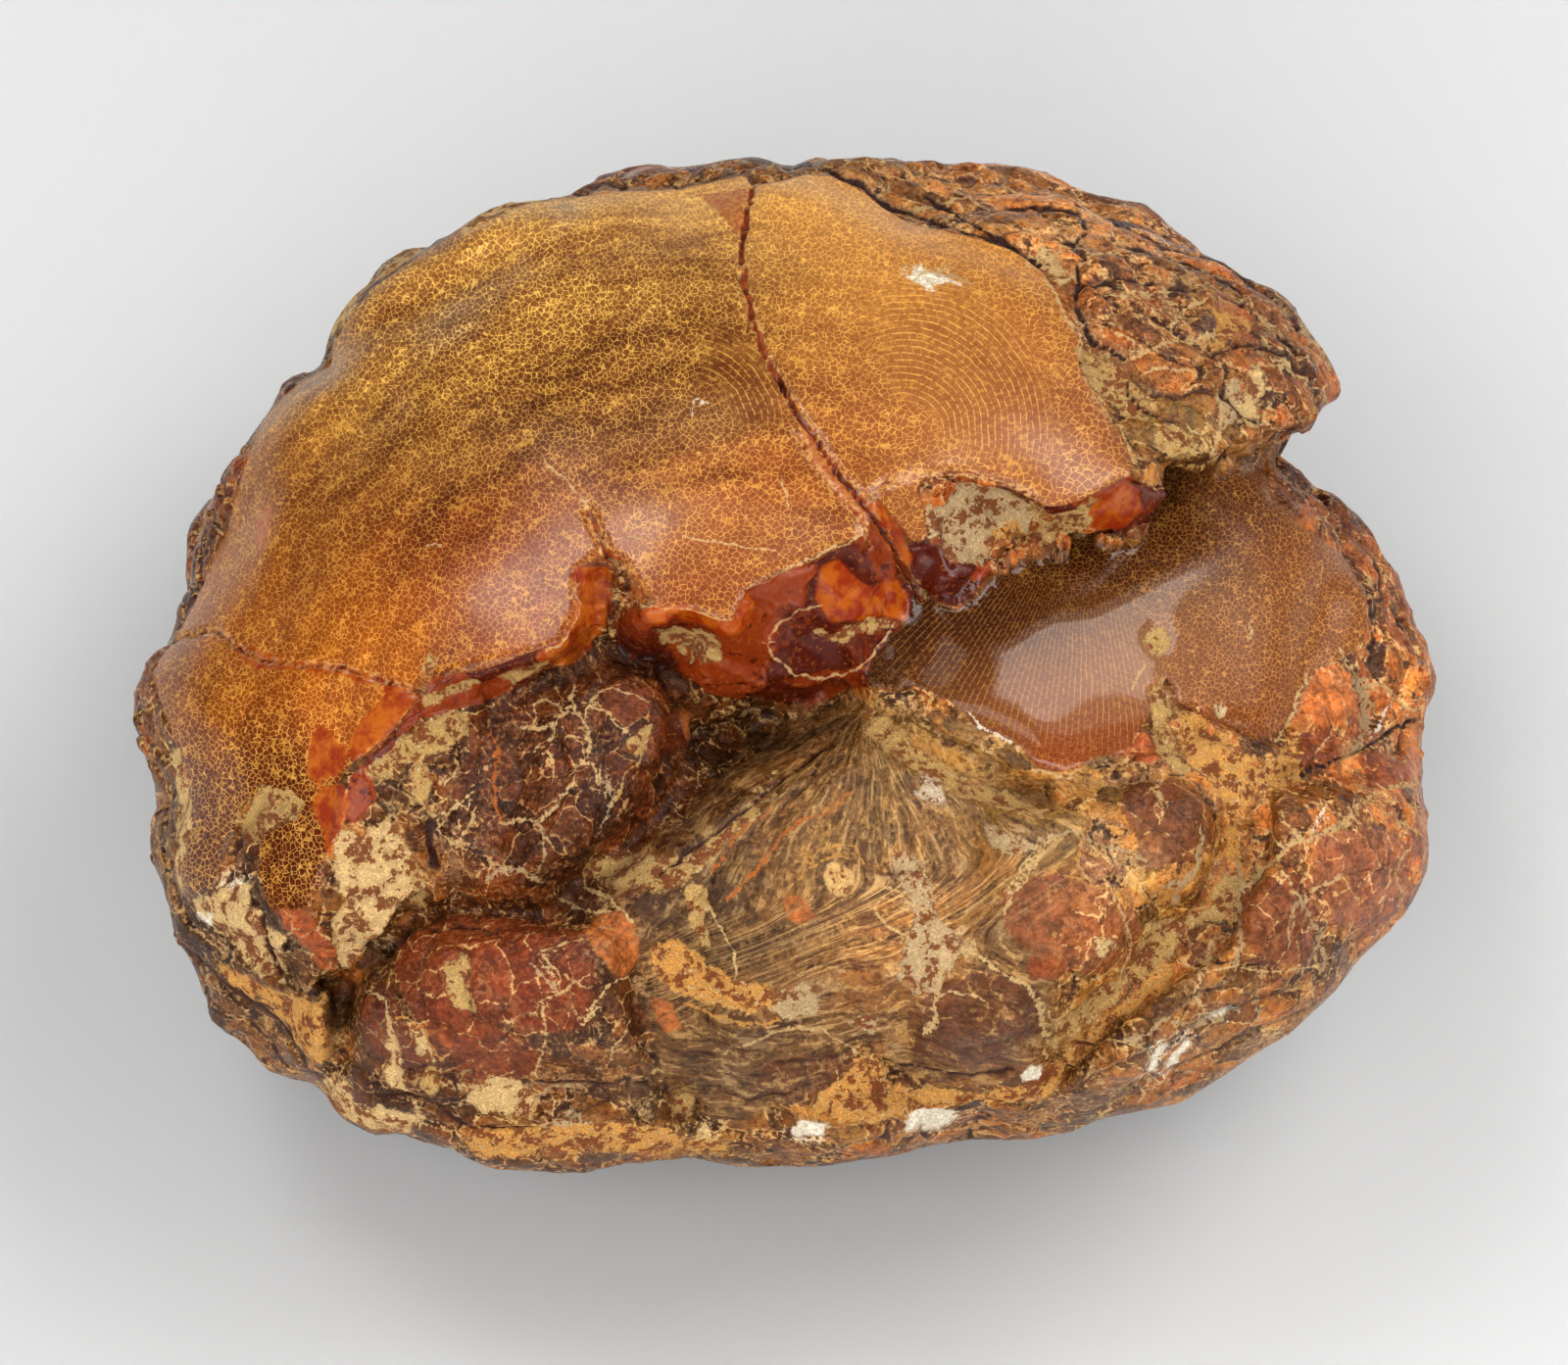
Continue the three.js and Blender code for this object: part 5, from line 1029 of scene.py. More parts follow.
def soft(rows, base, base_weight):
    """Soft patches of colour over a base, uneven at their edges."""
    total, weight = np.tile(linear(base), (len(P), 1)) * base_weight, np.full(len(P), base_weight)
    for u, v, la, lb, turned, colour, strength in rows:
        c, s = math.cos(math.radians(turned)), math.sin(math.radians(turned))
        du, dv = (U - u) / PER_MM + warp[:, 1] * 3.0, (V - v) / PER_MM + warp[:, 2] * 3.0
        a, b = du * c + dv * s, -du * s + dv * c
        w = strength * np.exp(-(a / la) ** 2 - (b / lb) ** 2) * (through > -6)
        total += w[:, None] * linear(colour)
        weight += w
    return total / weight[:, None]


tone = np.where((d_lens < 3), 0.82, 1.24)[:, None] * np.where((d_lens < 3)[:, None], soft(LENS_TONES, (150, 90, 44), 0.25), soft(SKIN_TONES, (178, 110, 50), 0.25))
# the dome's colour is lighter towards its far edge and darker towards its lower, front edge
tone *= np.where(d_lens < 3, 1.0, 1 + 0.10 * smoothstep(330, 220, V) - 0.17 * smoothstep(430, 600, V))[:, None]
crust = soft(CRUST_TONES, (150, 82, 44), 0.45)
crust = crust * [0.80, 0.83, 0.42] * (0.90 + 0.22 * smoothstep(450, 950, U))[:, None]
vary = w_roof * nums_a[:, 1] + w_plate * (0.6 * nums_b[:, 1] + 0.4 * nums_c[:, 1]) + w_swirl * nums_f[:, 1] + w_knob * 0.5
vary2 = w_roof * nums_d[:, 2] + w_plate * nums_c[:, 2] + w_swirl * nums_f[:, 2] + w_knob * 0.5
crust *= (0.62 + 0.70 * vary)[:, None]
crust *= 1 + (vary2 - 0.5)[:, None] * np.array([0.10, 0.35, 0.55])  # some plates redder, some greyer
patchy = smoothstep(-0.15, 0.25, fbm(P / 8.0, 3, 81))
clay_mean = linear((208, 172, 122)) * (1 - patchy)[:, None] + linear((182, 146, 102)) * patchy[:, None]
clay_mean = clay_mean * (1 - w_swirl[:, None]) + w_swirl[:, None] * (linear((198, 152, 90)) * (1 - patchy)[:, None] + linear((168, 140, 100)) * patchy[:, None])
in_clay = smoothstep(2.5, 0.5, d_clay)[:, None]
clay_tint = clay_tint * in_clay + clay_mean * (1 - in_clay)
dusty = np.clip(w_roof * 0.75 + w_plate * (0.5 + 0.25 * smoothstep(900, 1100, U)) + w_swirl * 0.85 + w_knob * 0.12 + 0.30 * fbm(P / 10.0, 2, 82), 0, 1)
olive_net = np.clip(0.74 + 0.26 * np.exp(-((U - 520) / 240) ** 2 - ((V - 330) / 130) ** 2) + 0.5 * np.exp(-((U - 250) / 90) ** 2 - ((V - 840) / 90) ** 2)
                    + 0.25 * (d_lens < 2) * smoothstep(1150, 1300, U), 0, 1)

# ---- the piece ------------------------------------------------------------------------------------------------
SHIFT = np.array([1.2273521, 8.9147835, 0.0])  # the drawing's middle to the middle of the lump's box


def make_mesh(name, V, T):
    me = bpy.data.meshes.new(name)
    me.vertices.add(len(V))
    me.vertices.foreach_set("co", ((V - SHIFT) / 1000).astype(np.float32).reshape(-1))
    me.loops.add(len(T) * 3)
    me.loops.foreach_set("vertex_index", T.astype(np.int32).reshape(-1))
    me.polygons.add(len(T))
    me.polygons.foreach_set("loop_start", np.arange(0, len(T) * 3, 3, dtype=np.int32))
    me.polygons.foreach_set("loop_total", np.full(len(T), 3, dtype=np.int32))
    me.polygons.foreach_set("use_smooth", np.ones(len(T), dtype=bool))
    me.update(calc_edges=True)
    me.validate()
    ob = bpy.data.objects.new(name, me)
    bpy.context.scene.collection.objects.link(ob)
    return ob


def attribute(ob, name, values):
    values = np.asarray(values, np.float32)
    if values.ndim == 1:
        ob.data.attributes.new(name, "FLOAT", "POINT").data.foreach_set("value", values)
    else:
        ob.data.attributes.new(name, "FLOAT_VECTOR", "POINT").data.foreach_set("vector", values.reshape(-1))


lump_piece = make_mesh("amber_lump", verts, tris)
limit = lambda d: np.clip(d, -8, 8)
facet = nums_r[:, 1]
# the painted shade in the hollows fades out towards the right
hollow_shade = hollow_shade * smoothstep(1010, 950, U)
jig = 0.45 * np.stack([fbm(P * 0.42, 2, 91), fbm(P * 0.42, 2, 92), fbm(P * 0.42, 2, 93)], -1)
broad = 0.5 + 0.38 * fbm(P * 0.12, 3, 94, 0.6)
cast = np.ones(len(P))  # the crust's colour is made paler in some places and darker in others, and at the ear (1100, 930) and the middle of the swirl (900, 950) the paler colour is partly painted sheen: place, width and strength
for u, v, wide, gain in ((1100, 210, 100, 1.5), (1420, 680, 60, 1.35), (1380, 860, 70, 1.45), (1100, 930, 60, 1.35),
                         (900, 950, 55, 1.7), (720, 930, 60, 0.72), (260, 1000, 60, 0.75), (580, 760, 50, 1.4),
                         (500, 980, 60, 1.4), (430, 1080, 50, 0.85)):
    cast *= 1 + (gain - 1) * np.exp(-((U - u) ** 2 + (V - v) ** 2) / (2.0 * wide ** 2))
sweep = 0.5 + 0.38 * fbm(sweep * 0.42, 4, 95, 0.66)
for label, values in dict(
        d_skin=limit(d_skin), d_lens=limit(d_lens), d_raw=limit(d_raw), d_glow=limit(d_glow), d_sliver=limit(d_sliver),
        d_clay=limit(d_clay), d_plate=limit(d_plate), clay_tint=clay_tint, plate_tint=plate_tint, low=np.clip(low, -3, 3), crack=crack_depth,
        crease=np.clip(open_deep * near_crease, 0, 2), vein=np.stack([line_off * np.sign(line_side), line_off, line_wide], -1), vein_tint=line_tint,
        seams=seams, tone=tone, crust=np.clip(crust, 0, 1), dusty=dusty, net_share=olive_net, facet=facet, swirl=w_swirl, knob=w_knob,
        hollow_shade=hollow_shade, ragged=ragged, net=net, rows=rows, row_of=row_of, sweep=sweep, streaky=streaky, matte=matte, jig=jig, broad=broad, cast=cast, web=web, flow=flow).items():
    attribute(lump_piece, label, values)


# ---- material -------------------------------------------------------------------------------------------------
class Nodes:
    """Short words for a material's nodes."""

    def __init__(self, name):
        self.material = bpy.data.materials.new(name)
        self.material.use_nodes = True
        self.tree = self.material.node_tree
        self.tree.nodes.clear()

    def new(self, kind, **values):
        n = self.tree.nodes.new(kind)
        for k, v in values.items():
            setattr(n, k, v)
        return n

    def put(self, socket, value):
        if isinstance(value, bpy.types.NodeSocket):
            self.tree.links.new(value, socket)
        elif value is not None:
            if socket.type == "RGBA" and len(value) == 3:
                value = (*value, 1)
            socket.default_value = value

    def math(self, op, a, b=None, c=None, clamp=False):
        n = self.new("ShaderNodeMath", operation=op, use_clamp=clamp)
        for s, v in zip(n.inputs, (a, b, c)):
            self.put(s, v)
        return n.outputs[0]

    def add(self, a, b): return self.math("ADD", a, b)
    def sub(self, a, b): return self.math("SUBTRACT", a, b)
    def mul(self, a, b): return self.math("MULTIPLY", a, b)

    def ramp(self, x, lo, hi, a=0.0, b=1.0):
        n = self.new("ShaderNodeMapRange", interpolation_type="SMOOTHSTEP")
        for s, v in zip(n.inputs, (x, lo, hi, a, b)):
            self.put(s, v)
        return n.outputs[0]

    def mix(self, t, a, b, kind="MIX"):
        n = self.new("ShaderNodeMix", data_type="RGBA", blend_type=kind)
        self.put(n.inputs[0], t)
        self.put(n.inputs[6], a)
        self.put(n.inputs[7], b)
        return n.outputs[2]

    def blend(self, t, a, b):
        n = self.new("ShaderNodeMix", data_type="FLOAT")
        self.put(n.inputs[0], t)
        self.put(n.inputs[2], a)
        self.put(n.inputs[3], b)
        return n.outputs[0]

    def attribute(self, name, out="Fac"):
        return self.new("ShaderNodeAttribute", attribute_type="GEOMETRY", attribute_name=name).outputs[out]

    def noise(self, P, scale, detail=3.0, rough=0.5, distortion=0.0):
        n = self.new("ShaderNodeTexNoise")
        self.put(n.inputs["Vector"], P)
        self.put(n.inputs["Scale"], scale)
        self.put(n.inputs["Detail"], detail)
        self.put(n.inputs["Roughness"], rough)
        self.put(n.inputs["Distortion"], distortion)
        return n.outputs[0]

    def voronoi(self, P, scale, feature="F1", out="Distance", randomness=1.0):
        n = self.new("ShaderNodeTexVoronoi", feature=feature)
        self.put(n.inputs["Vector"], P)
        self.put(n.inputs["Scale"], scale)
        self.put(n.inputs["Randomness"], randomness)
        return n.outputs[out]

    def vector(self, op, a, b=None, scale=None):
        n = self.new("ShaderNodeVectorMath", operation=op)
        self.put(n.inputs[0], a)
        if b is not None:
            self.put(n.inputs[1], b)
        if scale is not None:
            self.put(n.inputs["Scale"], scale)
        return n.outputs[1 if op in ("LENGTH", "DOT_PRODUCT", "DISTANCE") else 0]



def srgb(r, g, b):
    return tuple(float(x) for x in linear((r, g, b)))


def amber_material():
    N = Nodes("raw_amber")
    P = N.vector("SCALE", N.new("ShaderNodeTexCoord").outputs["Object"], scale=1000.0)  # mm
    fine = N.noise(P, 1.15, 3, 0.65)
    mid = N.noise(P, 0.34, 3, 0.62)
    grain = N.noise(P, 3.2, 2, 0.6)
    f0, m0 = N.sub(fine, 0.5), N.sub(mid, 0.5)
    wobble = N.add(N.mul(m0, 2.2), N.mul(f0, 1.6))  # about -1 to 1 mm
    inside = lambda name, soft=0.25, amp=0.6: N.ramp(N.add(N.attribute(name), N.mul(wobble, amp)), -soft, soft, 1.0, 0.0)
    skin = N.math("MAXIMUM", inside("d_skin", 0.15, 0.35), inside("d_lens", 0.15, 0.5))
    lens = N.ramp(N.attribute("d_lens"), 1.0, 3.0, 1.0, 0.0)
    raw = inside("d_raw", 0.2, 0.5)
    glow = inside("d_glow", 0.3, 0.5)
    sliver = inside("d_sliver", 0.15, 0.2)
    clay = N.ramp(N.add(N.attribute("d_clay"), N.mul(N.mul(wobble, 1.6), N.attribute("ragged"))), -0.25, 0.25, 1.0, 0.0)
    plate = inside("d_plate", 0.3, 1.0)
    crevice = N.ramp(N.add(N.attribute("crack"), N.mul(f0, 0.4)), 0.30, 0.8)
    crease_shade = N.ramp(N.add(N.attribute("crease"), N.mul(f0, 0.6)), 0.45, 1.1)
    hollow_shade = N.attribute("hollow_shade")
    tone = N.attribute("tone", "Vector")
    times = lambda c, k: N.vector("SCALE", c, scale=k)

    # the crackled skin: a fine pale net over amber, in rows here and there
    C = N.attribute("net", "Vector")
    shift = N.attribute("jig", "Vector")
    edge = N.voronoi(N.vector("ADD", C, N.vector("SCALE", shift, scale=0.9)), 0.92, "DISTANCE_TO_EDGE", randomness=0.9)
    row = N.new("ShaderNodeSeparateXYZ")
    N.put(row.inputs[0], N.vector("ADD", N.attribute("row_of", "Vector"), N.vector("SCALE", shift, scale=0.7)))
    line_no = N.math("FLOOR", row.outputs[0])
    to_line = N.math("ABSOLUTE", N.sub(N.sub(row.outputs[0], line_no), 0.5))
    step = N.add(N.mul(row.outputs[1], 0.85), N.mul(line_no, 0.37))
    to_step = N.math("ABSOLUTE", N.sub(N.math("FRACT", N.add(step, N.mul(f0, 0.8))), 0.5))
    edge_rows = N.math("MAXIMUM", N.mul(N.ramp(to_line, 0.36, 0.47), N.ramp(fine, 0.40, 0.54, 0.3, 1.0)), N.mul(N.ramp(to_step, 0.42, 0.49), 0.5))
    width = N.ramp(mid, 0.36, 0.64, 0.022, 0.065)
    net = N.ramp(edge, N.mul(width, 0.5), N.add(N.mul(width, 1.1), 0.03), 1.0, 0.0)
    net = N.blend(N.attribute("rows"), net, edge_rows)
    net = N.mul(N.mul(net, N.ramp(fine, 0.34, 0.48, 0.25, 1.0)), N.attribute("net_share"))
    net = N.mul(net, N.blend(lens, 1.0, 0.9))
    sweep = N.attribute("sweep")
    tone = N.mix(N.attribute("streaky"), tone, N.mix(1.0, tone, N.mix(N.ramp(sweep, 0.36, 0.60), srgb(186, 158, 142), srgb(255, 255, 250)), "MULTIPLY"))
    bold = N.mul(N.ramp(N.attribute("net_share"), 0.60, 1.0, 0.1, 0.6), N.blend(lens, 1.0, 0.25))
    skin_dark = N.mix(bold, tone, N.mix(1.0, tone, N.mix(N.ramp(fine, 0.35, 0.65), srgb(206, 178, 160), srgb(255, 250, 244)), "MULTIPLY"))
    skin_dark = N.mix(N.mul(N.ramp(N.attribute("net_share"), 0.75, 1.0, 0.0, 0.6), N.sub(1.0, lens)), skin_dark, N.mix(1.0, skin_dark, srgb(196, 160, 138), "MULTIPLY"))
    skin_dark = N.mix(0.35, skin_dark, N.mix(1.0, skin_dark, srgb(214, 190, 176), "MULTIPLY"))
    skin_pale = N.mix(0.5, times(tone, 2.2), N.mix(lens, srgb(255, 214, 110), srgb(236, 178, 92)))
    skin_colour = N.mix(net, skin_dark, skin_pale)
    skin_colour = N.mix(N.mul(N.ramp(N.add(N.mul(mid, 0.5), N.mul(fine, 0.5)), 0.54, 0.62, 0.0, 0.55), N.blend(lens, 1.0, 0.3)), skin_colour, N.mix(0.5, times(tone, 1.5), srgb(236, 184, 76)))
    skin_colour = N.mix(N.mul(N.ramp(N.add(N.mul(mid, 0.6), N.mul(fine, 0.4)), 0.38, 0.46, 0.7, 0.0), bold), skin_colour, N.mix(1.0, skin_colour, srgb(164, 110, 80), "MULTIPLY"))
    skin_colour = N.mix(N.mul(sliver, 0.8), skin_colour, N.mix(N.ramp(fine, 0.4, 0.6), srgb(186, 96, 44), srgb(212, 138, 76)))

    # clay
    clay_tint = N.attribute("clay_tint", "Vector")
    clay_light = N.new("ShaderNodeSeparateXYZ")
    N.put(clay_light.inputs[0], clay_tint)
    clay_colour = times(clay_tint, N.ramp(N.add(N.mul(grain, 0.5), N.mul(fine, 0.5)), 0.38, 0.62, 0.62, 1.30))
    chalk = N.ramp(clay_light.outputs[1], 0.60, 0.74)
    clay_colour = N.mix(N.mul(N.ramp(mid, 0.48, 0.62, 0.0, 0.6), N.sub(1.0, chalk)), clay_colour, N.mix(1.0, clay_colour, srgb(206, 170, 128), "MULTIPLY"))
    islands = N.ramp(N.add(N.mul(fine, 0.4), N.mul(mid, 0.6)), 0.505, 0.54)
    islands = N.mul(islands, N.sub(0.9, N.mul(chalk, 0.85)))
    clay_colour = N.mix(islands, clay_colour, N.mix(grain, srgb(92, 44, 24), srgb(150, 84, 46)))
    specks = N.ramp(N.add(N.mul(grain, 0.5), N.mul(fine, 0.5)), 0.40, 0.44, 0.6, 0.0)
    clay_colour = N.mix(specks, clay_colour, srgb(240, 212, 160))

    # the crust: smooth red-brown plates, clay and dust in the low places, fine cracks
    swirl = N.attribute("swirl")
    dusty = N.attribute("dusty")
    streak = N.noise(N.attribute("flow", "Vector"), 0.9, 3, 0.68)
    broad = N.attribute("broad")
    W = N.attribute("web", "Vector")
    W2 = N.vector("ADD", W, N.vector("SCALE", shift, scale=2.2))
    cell = N.voronoi(W2, 0.20, "DISTANCE_TO_EDGE")
    lot = N.new("ShaderNodeSeparateXYZ")
    N.put(lot.inputs[0], N.voronoi(W2, 0.20, "F1", "Color"))
    small = N.voronoi(N.vector("ADD", W, (31.0, 7.0, 3.0)), 0.55, "DISTANCE_TO_EDGE")
    crust = times(N.attribute("crust", "Vector"), N.mul(N.ramp(lot.outputs[0], 0.1, 0.9, 0.60, 1.42), N.ramp(mid, 0.36, 0.64, 0.66, 1.36)))
    crust = N.mix(N.ramp(lot.outputs[1], 0.35, 0.95, 0.0, 0.4), crust, N.mix(1.0, crust, srgb(255, 212, 186), "MULTIPLY"))
    crust = N.mix(N.ramp(fine, 0.37, 0.47, 0.8, 0.0), crust, N.mix(1.0, crust, srgb(176, 132, 108), "MULTIPLY"))
    crust = N.mix(N.ramp(fine, 0.56, 0.63, 0.0, 0.45), crust, N.mix(0.5, times(crust, 1.7), srgb(206, 126, 70)))
    fibre = N.mix(N.ramp(streak, 0.37, 0.50), srgb(60, 37, 21), srgb(124, 89, 53))
    fibre = N.mix(N.ramp(streak, 0.54, 0.61), fibre, srgb(204, 164, 108))
    crust = N.mix(N.mul(swirl, 0.62), crust, fibre)
    plain = N.sub(1.0, N.mul(swirl, 0.75))
    seam = N.ramp(cell, N.ramp(fine, 0.44, 0.60, 0.0, 0.018), N.ramp(fine, 0.44, 0.60, 0.012, 0.050), 1.0, 0.0)
    seam_dark = N.ramp(mid, 0.45, 0.50, 1.0, 0.0)
    pale = N.mix(0.5, times(clay_tint, N.ramp(grain, 0.3, 0.7, 0.85, 1.3)), srgb(224, 180, 112))
    hair = N.mul(N.ramp(small, 0.012, 0.045, 1.0, 0.0), N.ramp(fine, 0.46, 0.56, 0.0, 0.9))
    hair_dark = N.ramp(broad, 0.48, 0.53, 1.0, 0.0)
    # dust lies in soft patches
    low0 = N.attribute("low")
    haze = N.ramp(N.add(N.add(N.mul(broad, 0.50), N.mul(N.blend(swirl, fine, streak), 0.50)), N.mul(low0, 0.09)), 0.53, 0.61, 0.0, 0.6)
    crust = N.mix(N.mul(haze, dusty), crust, N.mix(N.ramp(grain, 0.42, 0.58), times(clay_tint, 0.42), times(clay_tint, 0.95)))
    crust = N.mix(N.mul(N.mul(hair, plain), N.blend(hair_dark, N.blend(dusty, 0.3, 0.8), 0.8)), crust, N.mix(hair_dark, pale, srgb(58, 26, 12)))
    crust = N.mix(N.mul(N.mul(seam, plain), N.blend(seam_dark, N.blend(dusty, 0.45, 1.0), 0.85)), crust, N.mix(seam_dark, pale, srgb(56, 24, 12)))
    # edges of the plates: a dark crack with a pale, worn rim; the crack's dark is painted shade
    rim = N.add(N.attribute("seams"), N.add(N.mul(m0, 2.0), N.mul(f0, 0.9)))
    worn = N.mul(N.mul(N.ramp(rim, 0.35, 0.50), N.ramp(rim, 0.60, 0.95, 1.0, 0.0)), N.ramp(fine, 0.44, 0.56))
    crust = N.mix(N.mul(N.mul(worn, plain), N.blend(dusty, 0.25, 0.8)), crust, pale)
    low = N.add(low0, N.add(N.mul(m0, 2.0), N.mul(f0, 1.3)))
    filled = N.mul(N.ramp(low, 0.75, 1.10), N.mul(N.blend(dusty, 0.15, 0.95), N.blend(swirl, 1.0, 0.55)))
    crust = N.mix(filled, crust, clay_colour)
    # painted shade in the cracks between the plates
    crust = N.mix(N.mul(N.ramp(rim, 0.10, 0.30, 0.8, 0.0), N.blend(swirl, 1.0, 0.35)), crust, srgb(58, 24, 12))
    # painted shade in the deepest low places
    crust = N.mix(N.ramp(low, 1.7, 2.4, 0.0, 0.7), crust, srgb(60, 28, 14))
    plate_tint = N.attribute("plate_tint", "Vector")
    plates = times(plate_tint, N.mul(N.ramp(fine, 0.35, 0.65, 0.75, 1.2), N.ramp(mid, 0.35, 0.65, 0.75, 1.25)))
    crust = times(N.mix(N.mul(plate, N.sub(0.75, N.mul(seam, 0.6))), crust, plates), N.attribute("cast"))

    # broken amber
    facet = N.attribute("facet")
    raw_colour = N.mix(N.ramp(N.add(N.mul(facet, 0.6), N.mul(mid, 0.4)), 0.35, 0.65), srgb(112, 34, 12), srgb(184, 76, 24))
    raw_colour = N.mix(N.ramp(fine, 0.54, 0.66, 0.0, 0.4), raw_colour, srgb(220, 136, 64))
    raw_colour = N.mix(N.ramp(N.add(N.mul(fine, 0.5), N.mul(mid, 0.5)), 0.38, 0.46, 0.8, 0.0), raw_colour, srgb(78, 22, 8))
    # painted glow: the light that comes through thin edges is painted into their colour as bright orange
    glow_colour = N.mix(N.ramp(mid, 0.38, 0.62), srgb(196, 66, 10), srgb(244, 130, 28))

    colour = N.mix(skin, crust, skin_colour)
    colour = N.mix(N.mul(raw, N.sub(1.0, skin)), colour, raw_colour)
    # painted glow of the thin edges
    colour = N.mix(N.mul(glow, 0.85), colour, glow_colour)
    solid = N.math("MAXIMUM", clay, 0.0)
    colour = N.mix(solid, colour, clay_colour)
    vein = N.new("ShaderNodeSeparateXYZ")
    N.put(vein.inputs[0], N.attribute("vein", "Vector"))
    off = N.math("MAXIMUM", N.math("ABSOLUTE", vein.outputs[0]), N.sub(vein.outputs[1], 0.6))
    line = N.ramp(N.sub(off, N.mul(vein.outputs[2], N.ramp(fine, 0.40, 0.60, 0.2, 1.2))), -0.12, 0.10, 1.0, 0.0)
    line = N.mul(line, N.ramp(N.add(N.mul(grain, 0.5), N.mul(fine, 0.5)), 0.38, 0.50, 0.25, 0.9))
    colour = N.mix(line, colour, times(N.attribute("vein_tint", "Vector"), N.ramp(grain, 0.3, 0.7, 0.75, 1.05)))
    # painted shade in the open creases
    colour = N.mix(crease_shade, colour, srgb(60, 26, 13))
    edge_line = N.mul(N.ramp(N.add(N.attribute("crack"), N.mul(f0, 0.3)), 0.08, 0.22), N.ramp(fine, 0.44, 0.54, 0.0, 0.6))
    colour = N.mix(N.mul(edge_line, N.sub(1.0, crevice)), colour, srgb(232, 186, 120))
    colour = N.mix(N.mul(crevice, 0.9), colour, N.mix(N.ramp(mid, 0.42, 0.58), srgb(110, 38, 14), srgb(176, 78, 26)))
    # painted shade: darker where the lump closes round a hollow
    colour = N.mix(N.mul(N.ramp(hollow_shade, 0.50, 1.0), 0.70), colour, srgb(40, 21, 12))

    covered = N.math("MAXIMUM", clay, line)
    bare = N.sub(1.0, covered)
    shiny = N.math("MAXIMUM", skin, N.math("MAXIMUM", raw, glow))
    clear = N.mul(shiny, bare)
    rough = N.blend(shiny, N.ramp(fine, 0.35, 0.65, 0.16, 0.34), N.blend(lens, N.blend(N.attribute("matte"), 0.22, 0.42), N.blend(N.attribute("matte"), 0.09, 0.34)))
    rough = N.math("MAXIMUM", rough, N.mul(N.math("MAXIMUM", filled, N.mul(N.mul(haze, dusty), 0.75)), N.mul(N.sub(1.0, skin), 0.8)))
    rough = N.blend(covered, rough, 0.9)
    rough_area = N.ramp(N.math("MINIMUM", N.attribute("d_skin"), N.math("MINIMUM", N.attribute("d_lens"), N.add(N.attribute("d_raw"), 0.4))), -0.3, 0.5)
    height = N.mul(N.mul(fine, 0.42), rough_area)
    bump = N.new("ShaderNodeBump")
    N.put(bump.inputs["Strength"], 1.0)
    N.put(bump.inputs["Distance"], 0.001)
    N.put(bump.inputs["Height"], height)

    bsdf = N.new("ShaderNodeBsdfPrincipled")
    bsdf.distribution = "GGX"
    N.put(bsdf.inputs["Base Color"], colour)
    N.put(bsdf.inputs["Roughness"], rough)
    N.put(bsdf.inputs["Normal"], bump.outputs[0])
    N.put(bsdf.inputs["Transmission Weight"], N.mul(clear, N.blend(N.math("MAXIMUM", raw, glow), 0.16, 0.4)))
    bsdf.inputs["IOR"].default_value = 1.54
    bsdf.inputs["Specular IOR Level"].default_value = 0.38
    absorb = N.new("ShaderNodeVolumeAbsorption")
    absorb.inputs["Color"].default_value = (*srgb(242, 116, 18), 1)
    absorb.inputs["Density"].default_value = 150.0
    out = N.new("ShaderNodeOutputMaterial")
    N.tree.links.new(bsdf.outputs[0], out.inputs["Surface"])
    N.tree.links.new(absorb.outputs[0], out.inputs["Volume"])
    return N.material


lump_piece.data.materials.append(amber_material())
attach(lump_piece, "root")
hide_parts("amber_nodule")

# ---- floor, light, camera -------------------------------------------------------------------------------------
floor_mesh = bpy.data.meshes.new("floor")
floor_mesh.from_pydata([(-4, -4, 0), (4, -4, 0), (4, 4, 0), (-4, 4, 0)], [], [(0, 1, 2, 3)])
floor = bpy.data.objects.new("floor", floor_mesh)
bpy.context.scene.collection.objects.link(floor)
paper = Nodes("pale_paper")
paper_bsdf = paper.new("ShaderNodeBsdfPrincipled")
paper_bsdf.inputs["Base Color"].default_value = (0.70, 0.70, 0.70, 1)
paper_bsdf.inputs["Roughness"].default_value = 0.9
paper_out = paper.new("ShaderNodeOutputMaterial")
paper.tree.links.new(paper_bsdf.outputs[0], paper_out.inputs["Surface"])
floor_mesh.materials.append(paper.material)

world = bpy.data.worlds.new("studio")
bpy.context.scene.world = world
world.use_nodes = True
world.node_tree.nodes["Background"].inputs[0].default_value = (1, 1, 1, 1)
world.node_tree.nodes["Background"].inputs[1].default_value = 0.11


def softbox(name, at, aim, size, power, shines=True):
    data = bpy.data.lights.new(name, "AREA")
    data.shape = "RECTANGLE"
    data.size, data.size_y = size
    data.energy = power
    ob = bpy.data.objects.new(name, data)
    ob.location = at
    ob.visible_glossy = shines
    ob.rotation_mode = "QUATERNION"
    ob.rotation_quaternion = (Vector(aim) - Vector(at)).to_track_quat("-Z", "Y")
    bpy.context.scene.collection.objects.link(ob)


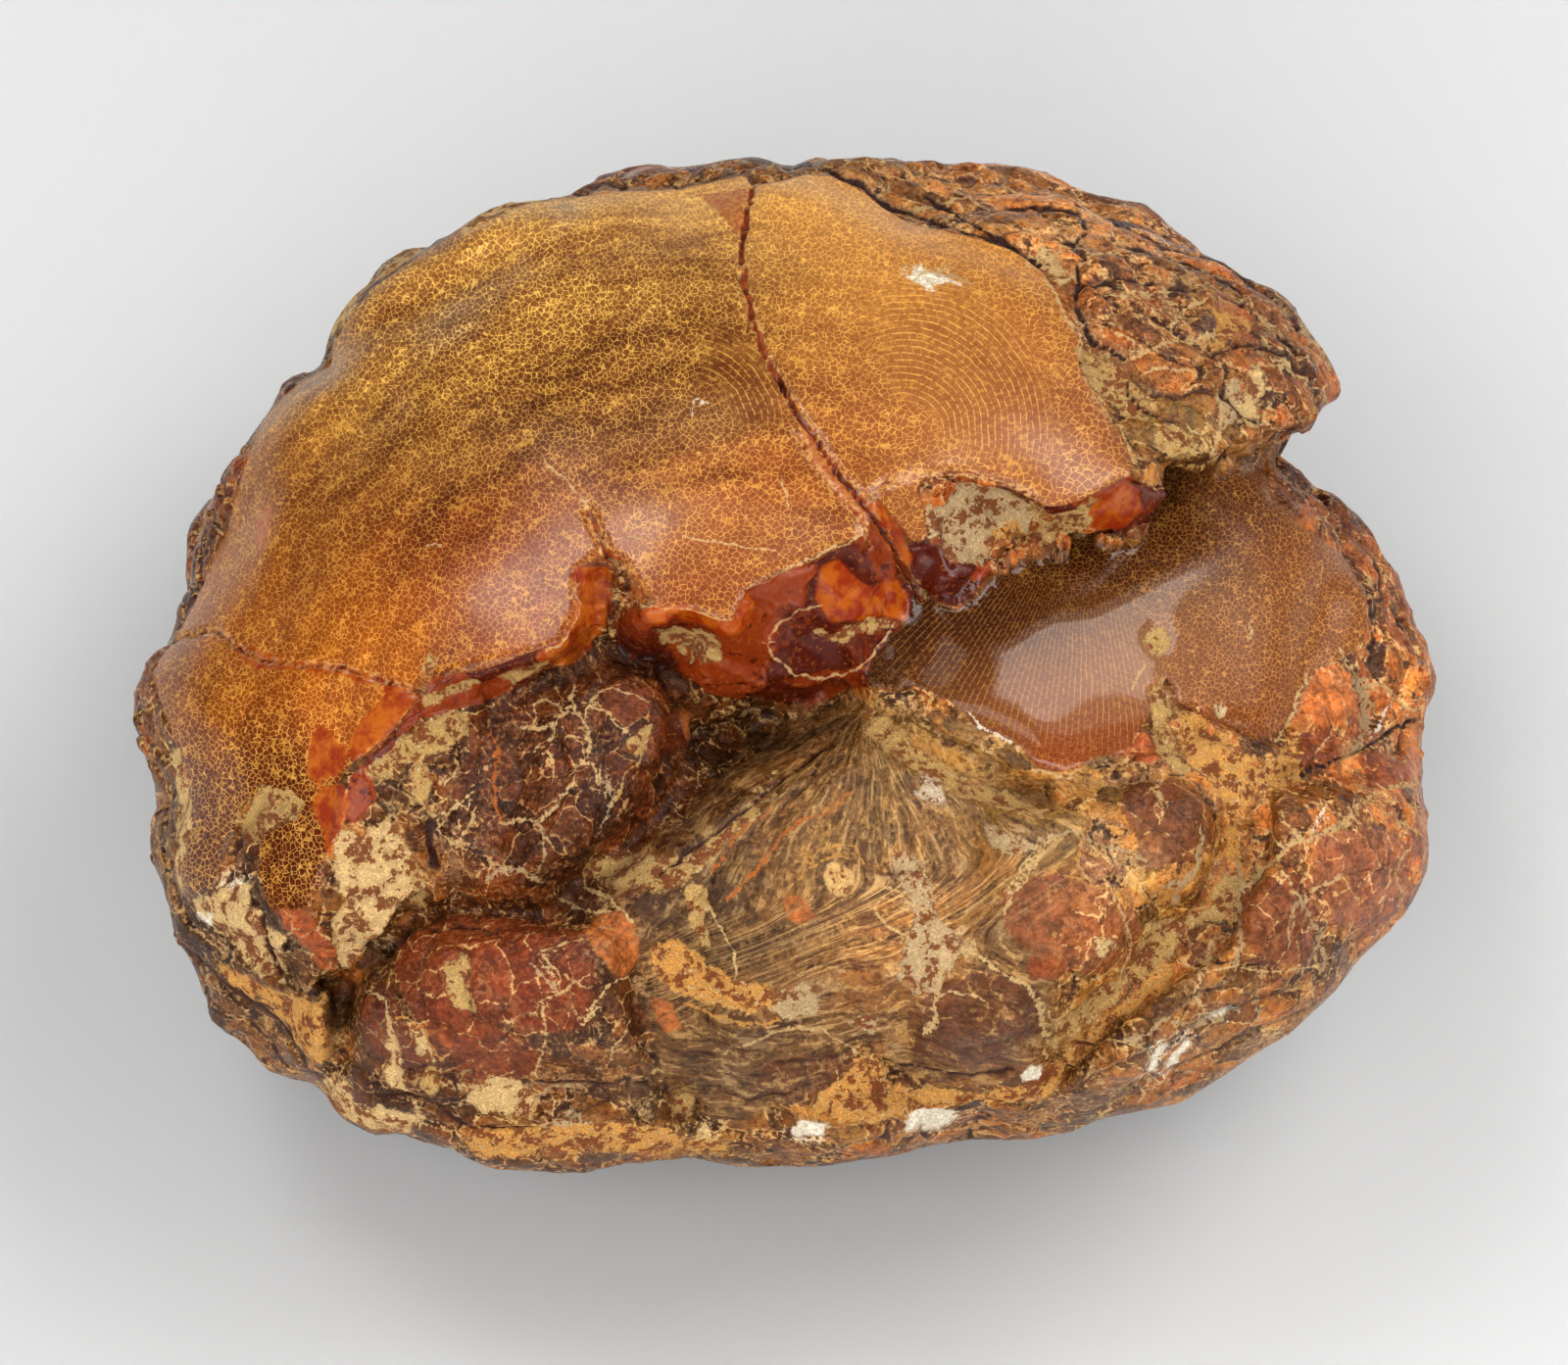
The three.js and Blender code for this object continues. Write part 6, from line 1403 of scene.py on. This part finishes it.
def around(azimuth, elevation, distance, aim=(0.0, 0.0, 0.08)):
    """A spot this many degrees round from the front and up from the floor."""
    a, e = math.radians(azimuth), math.radians(elevation)
    return (aim[0] + distance * math.cos(e) * math.sin(a), aim[1] - distance * math.cos(e) * math.cos(a), aim[2] + distance * math.sin(e))


softbox("left", around(-126, 62, 1.35), (-0.03, 0, 0.08), (0.40, 0.40), 2.3)
softbox("left_soft", around(-124, 60, 1.45), (-0.03, 0, 0.08), (1.00, 0.90), 3.0)
softbox("right", around(110, 50, 1.30), (0.03, 0, 0.08), (0.80, 0.66), 5.6)
softbox("right_soft", around(106, 43, 1.40), (0.03, 0, 0.08), (1.55, 1.30), 6.0)
softbox("front", around(-12, 46, 2.30), (0, 0, 0.05), (2.20, 1.40), 19.0)
softbox("front_low", around(-10, 22, 2.20), (0, 0, 0.05), (2.40, 1.00), 25.0, False)
softbox("left_low", around(-75, 35, 2.00), (0, 0, 0.05), (1.20, 1.20), 8.0, False)
softbox("right_low", around(60, 35, 2.00), (0, 0, 0.05), (1.20, 1.20), 6.0, False)

cycles = bpy.context.scene.cycles
cycles.max_bounces, cycles.diffuse_bounces, cycles.glossy_bounces, cycles.transmission_bounces = 4, 1, 2, 3
cycles.volume_bounces = 0
cycles.use_adaptive_sampling, cycles.adaptive_threshold, cycles.adaptive_min_samples = True, 1.0, 16
cycles.caustics_reflective = cycles.caustics_refractive = False

camera = bpy.data.objects.new("camera", bpy.data.cameras.new("camera"))
bpy.context.scene.collection.objects.link(camera)
middle = Vector((-SHIFT[0], -SHIFT[1], MIDDLE_Z)) / 1000
back = Vector((0, -COS, SIN))
camera.location = middle + back * (VIEW_DISTANCE / 1000)
camera.rotation_mode = "QUATERNION"
camera.rotation_quaternion = (-back).to_track_quat("-Z", "Y")
camera.data.sensor_width = 36
camera.data.lens = PER_MM * VIEW_DISTANCE * 36 / 1600
camera.data.clip_start, camera.data.clip_end = 0.05, 20
bpy.context.scene.camera = camera
view = bpy.context.scene.view_settings
view.view_transform, view.exposure, view.gamma = "Standard", 0.05, 0.87
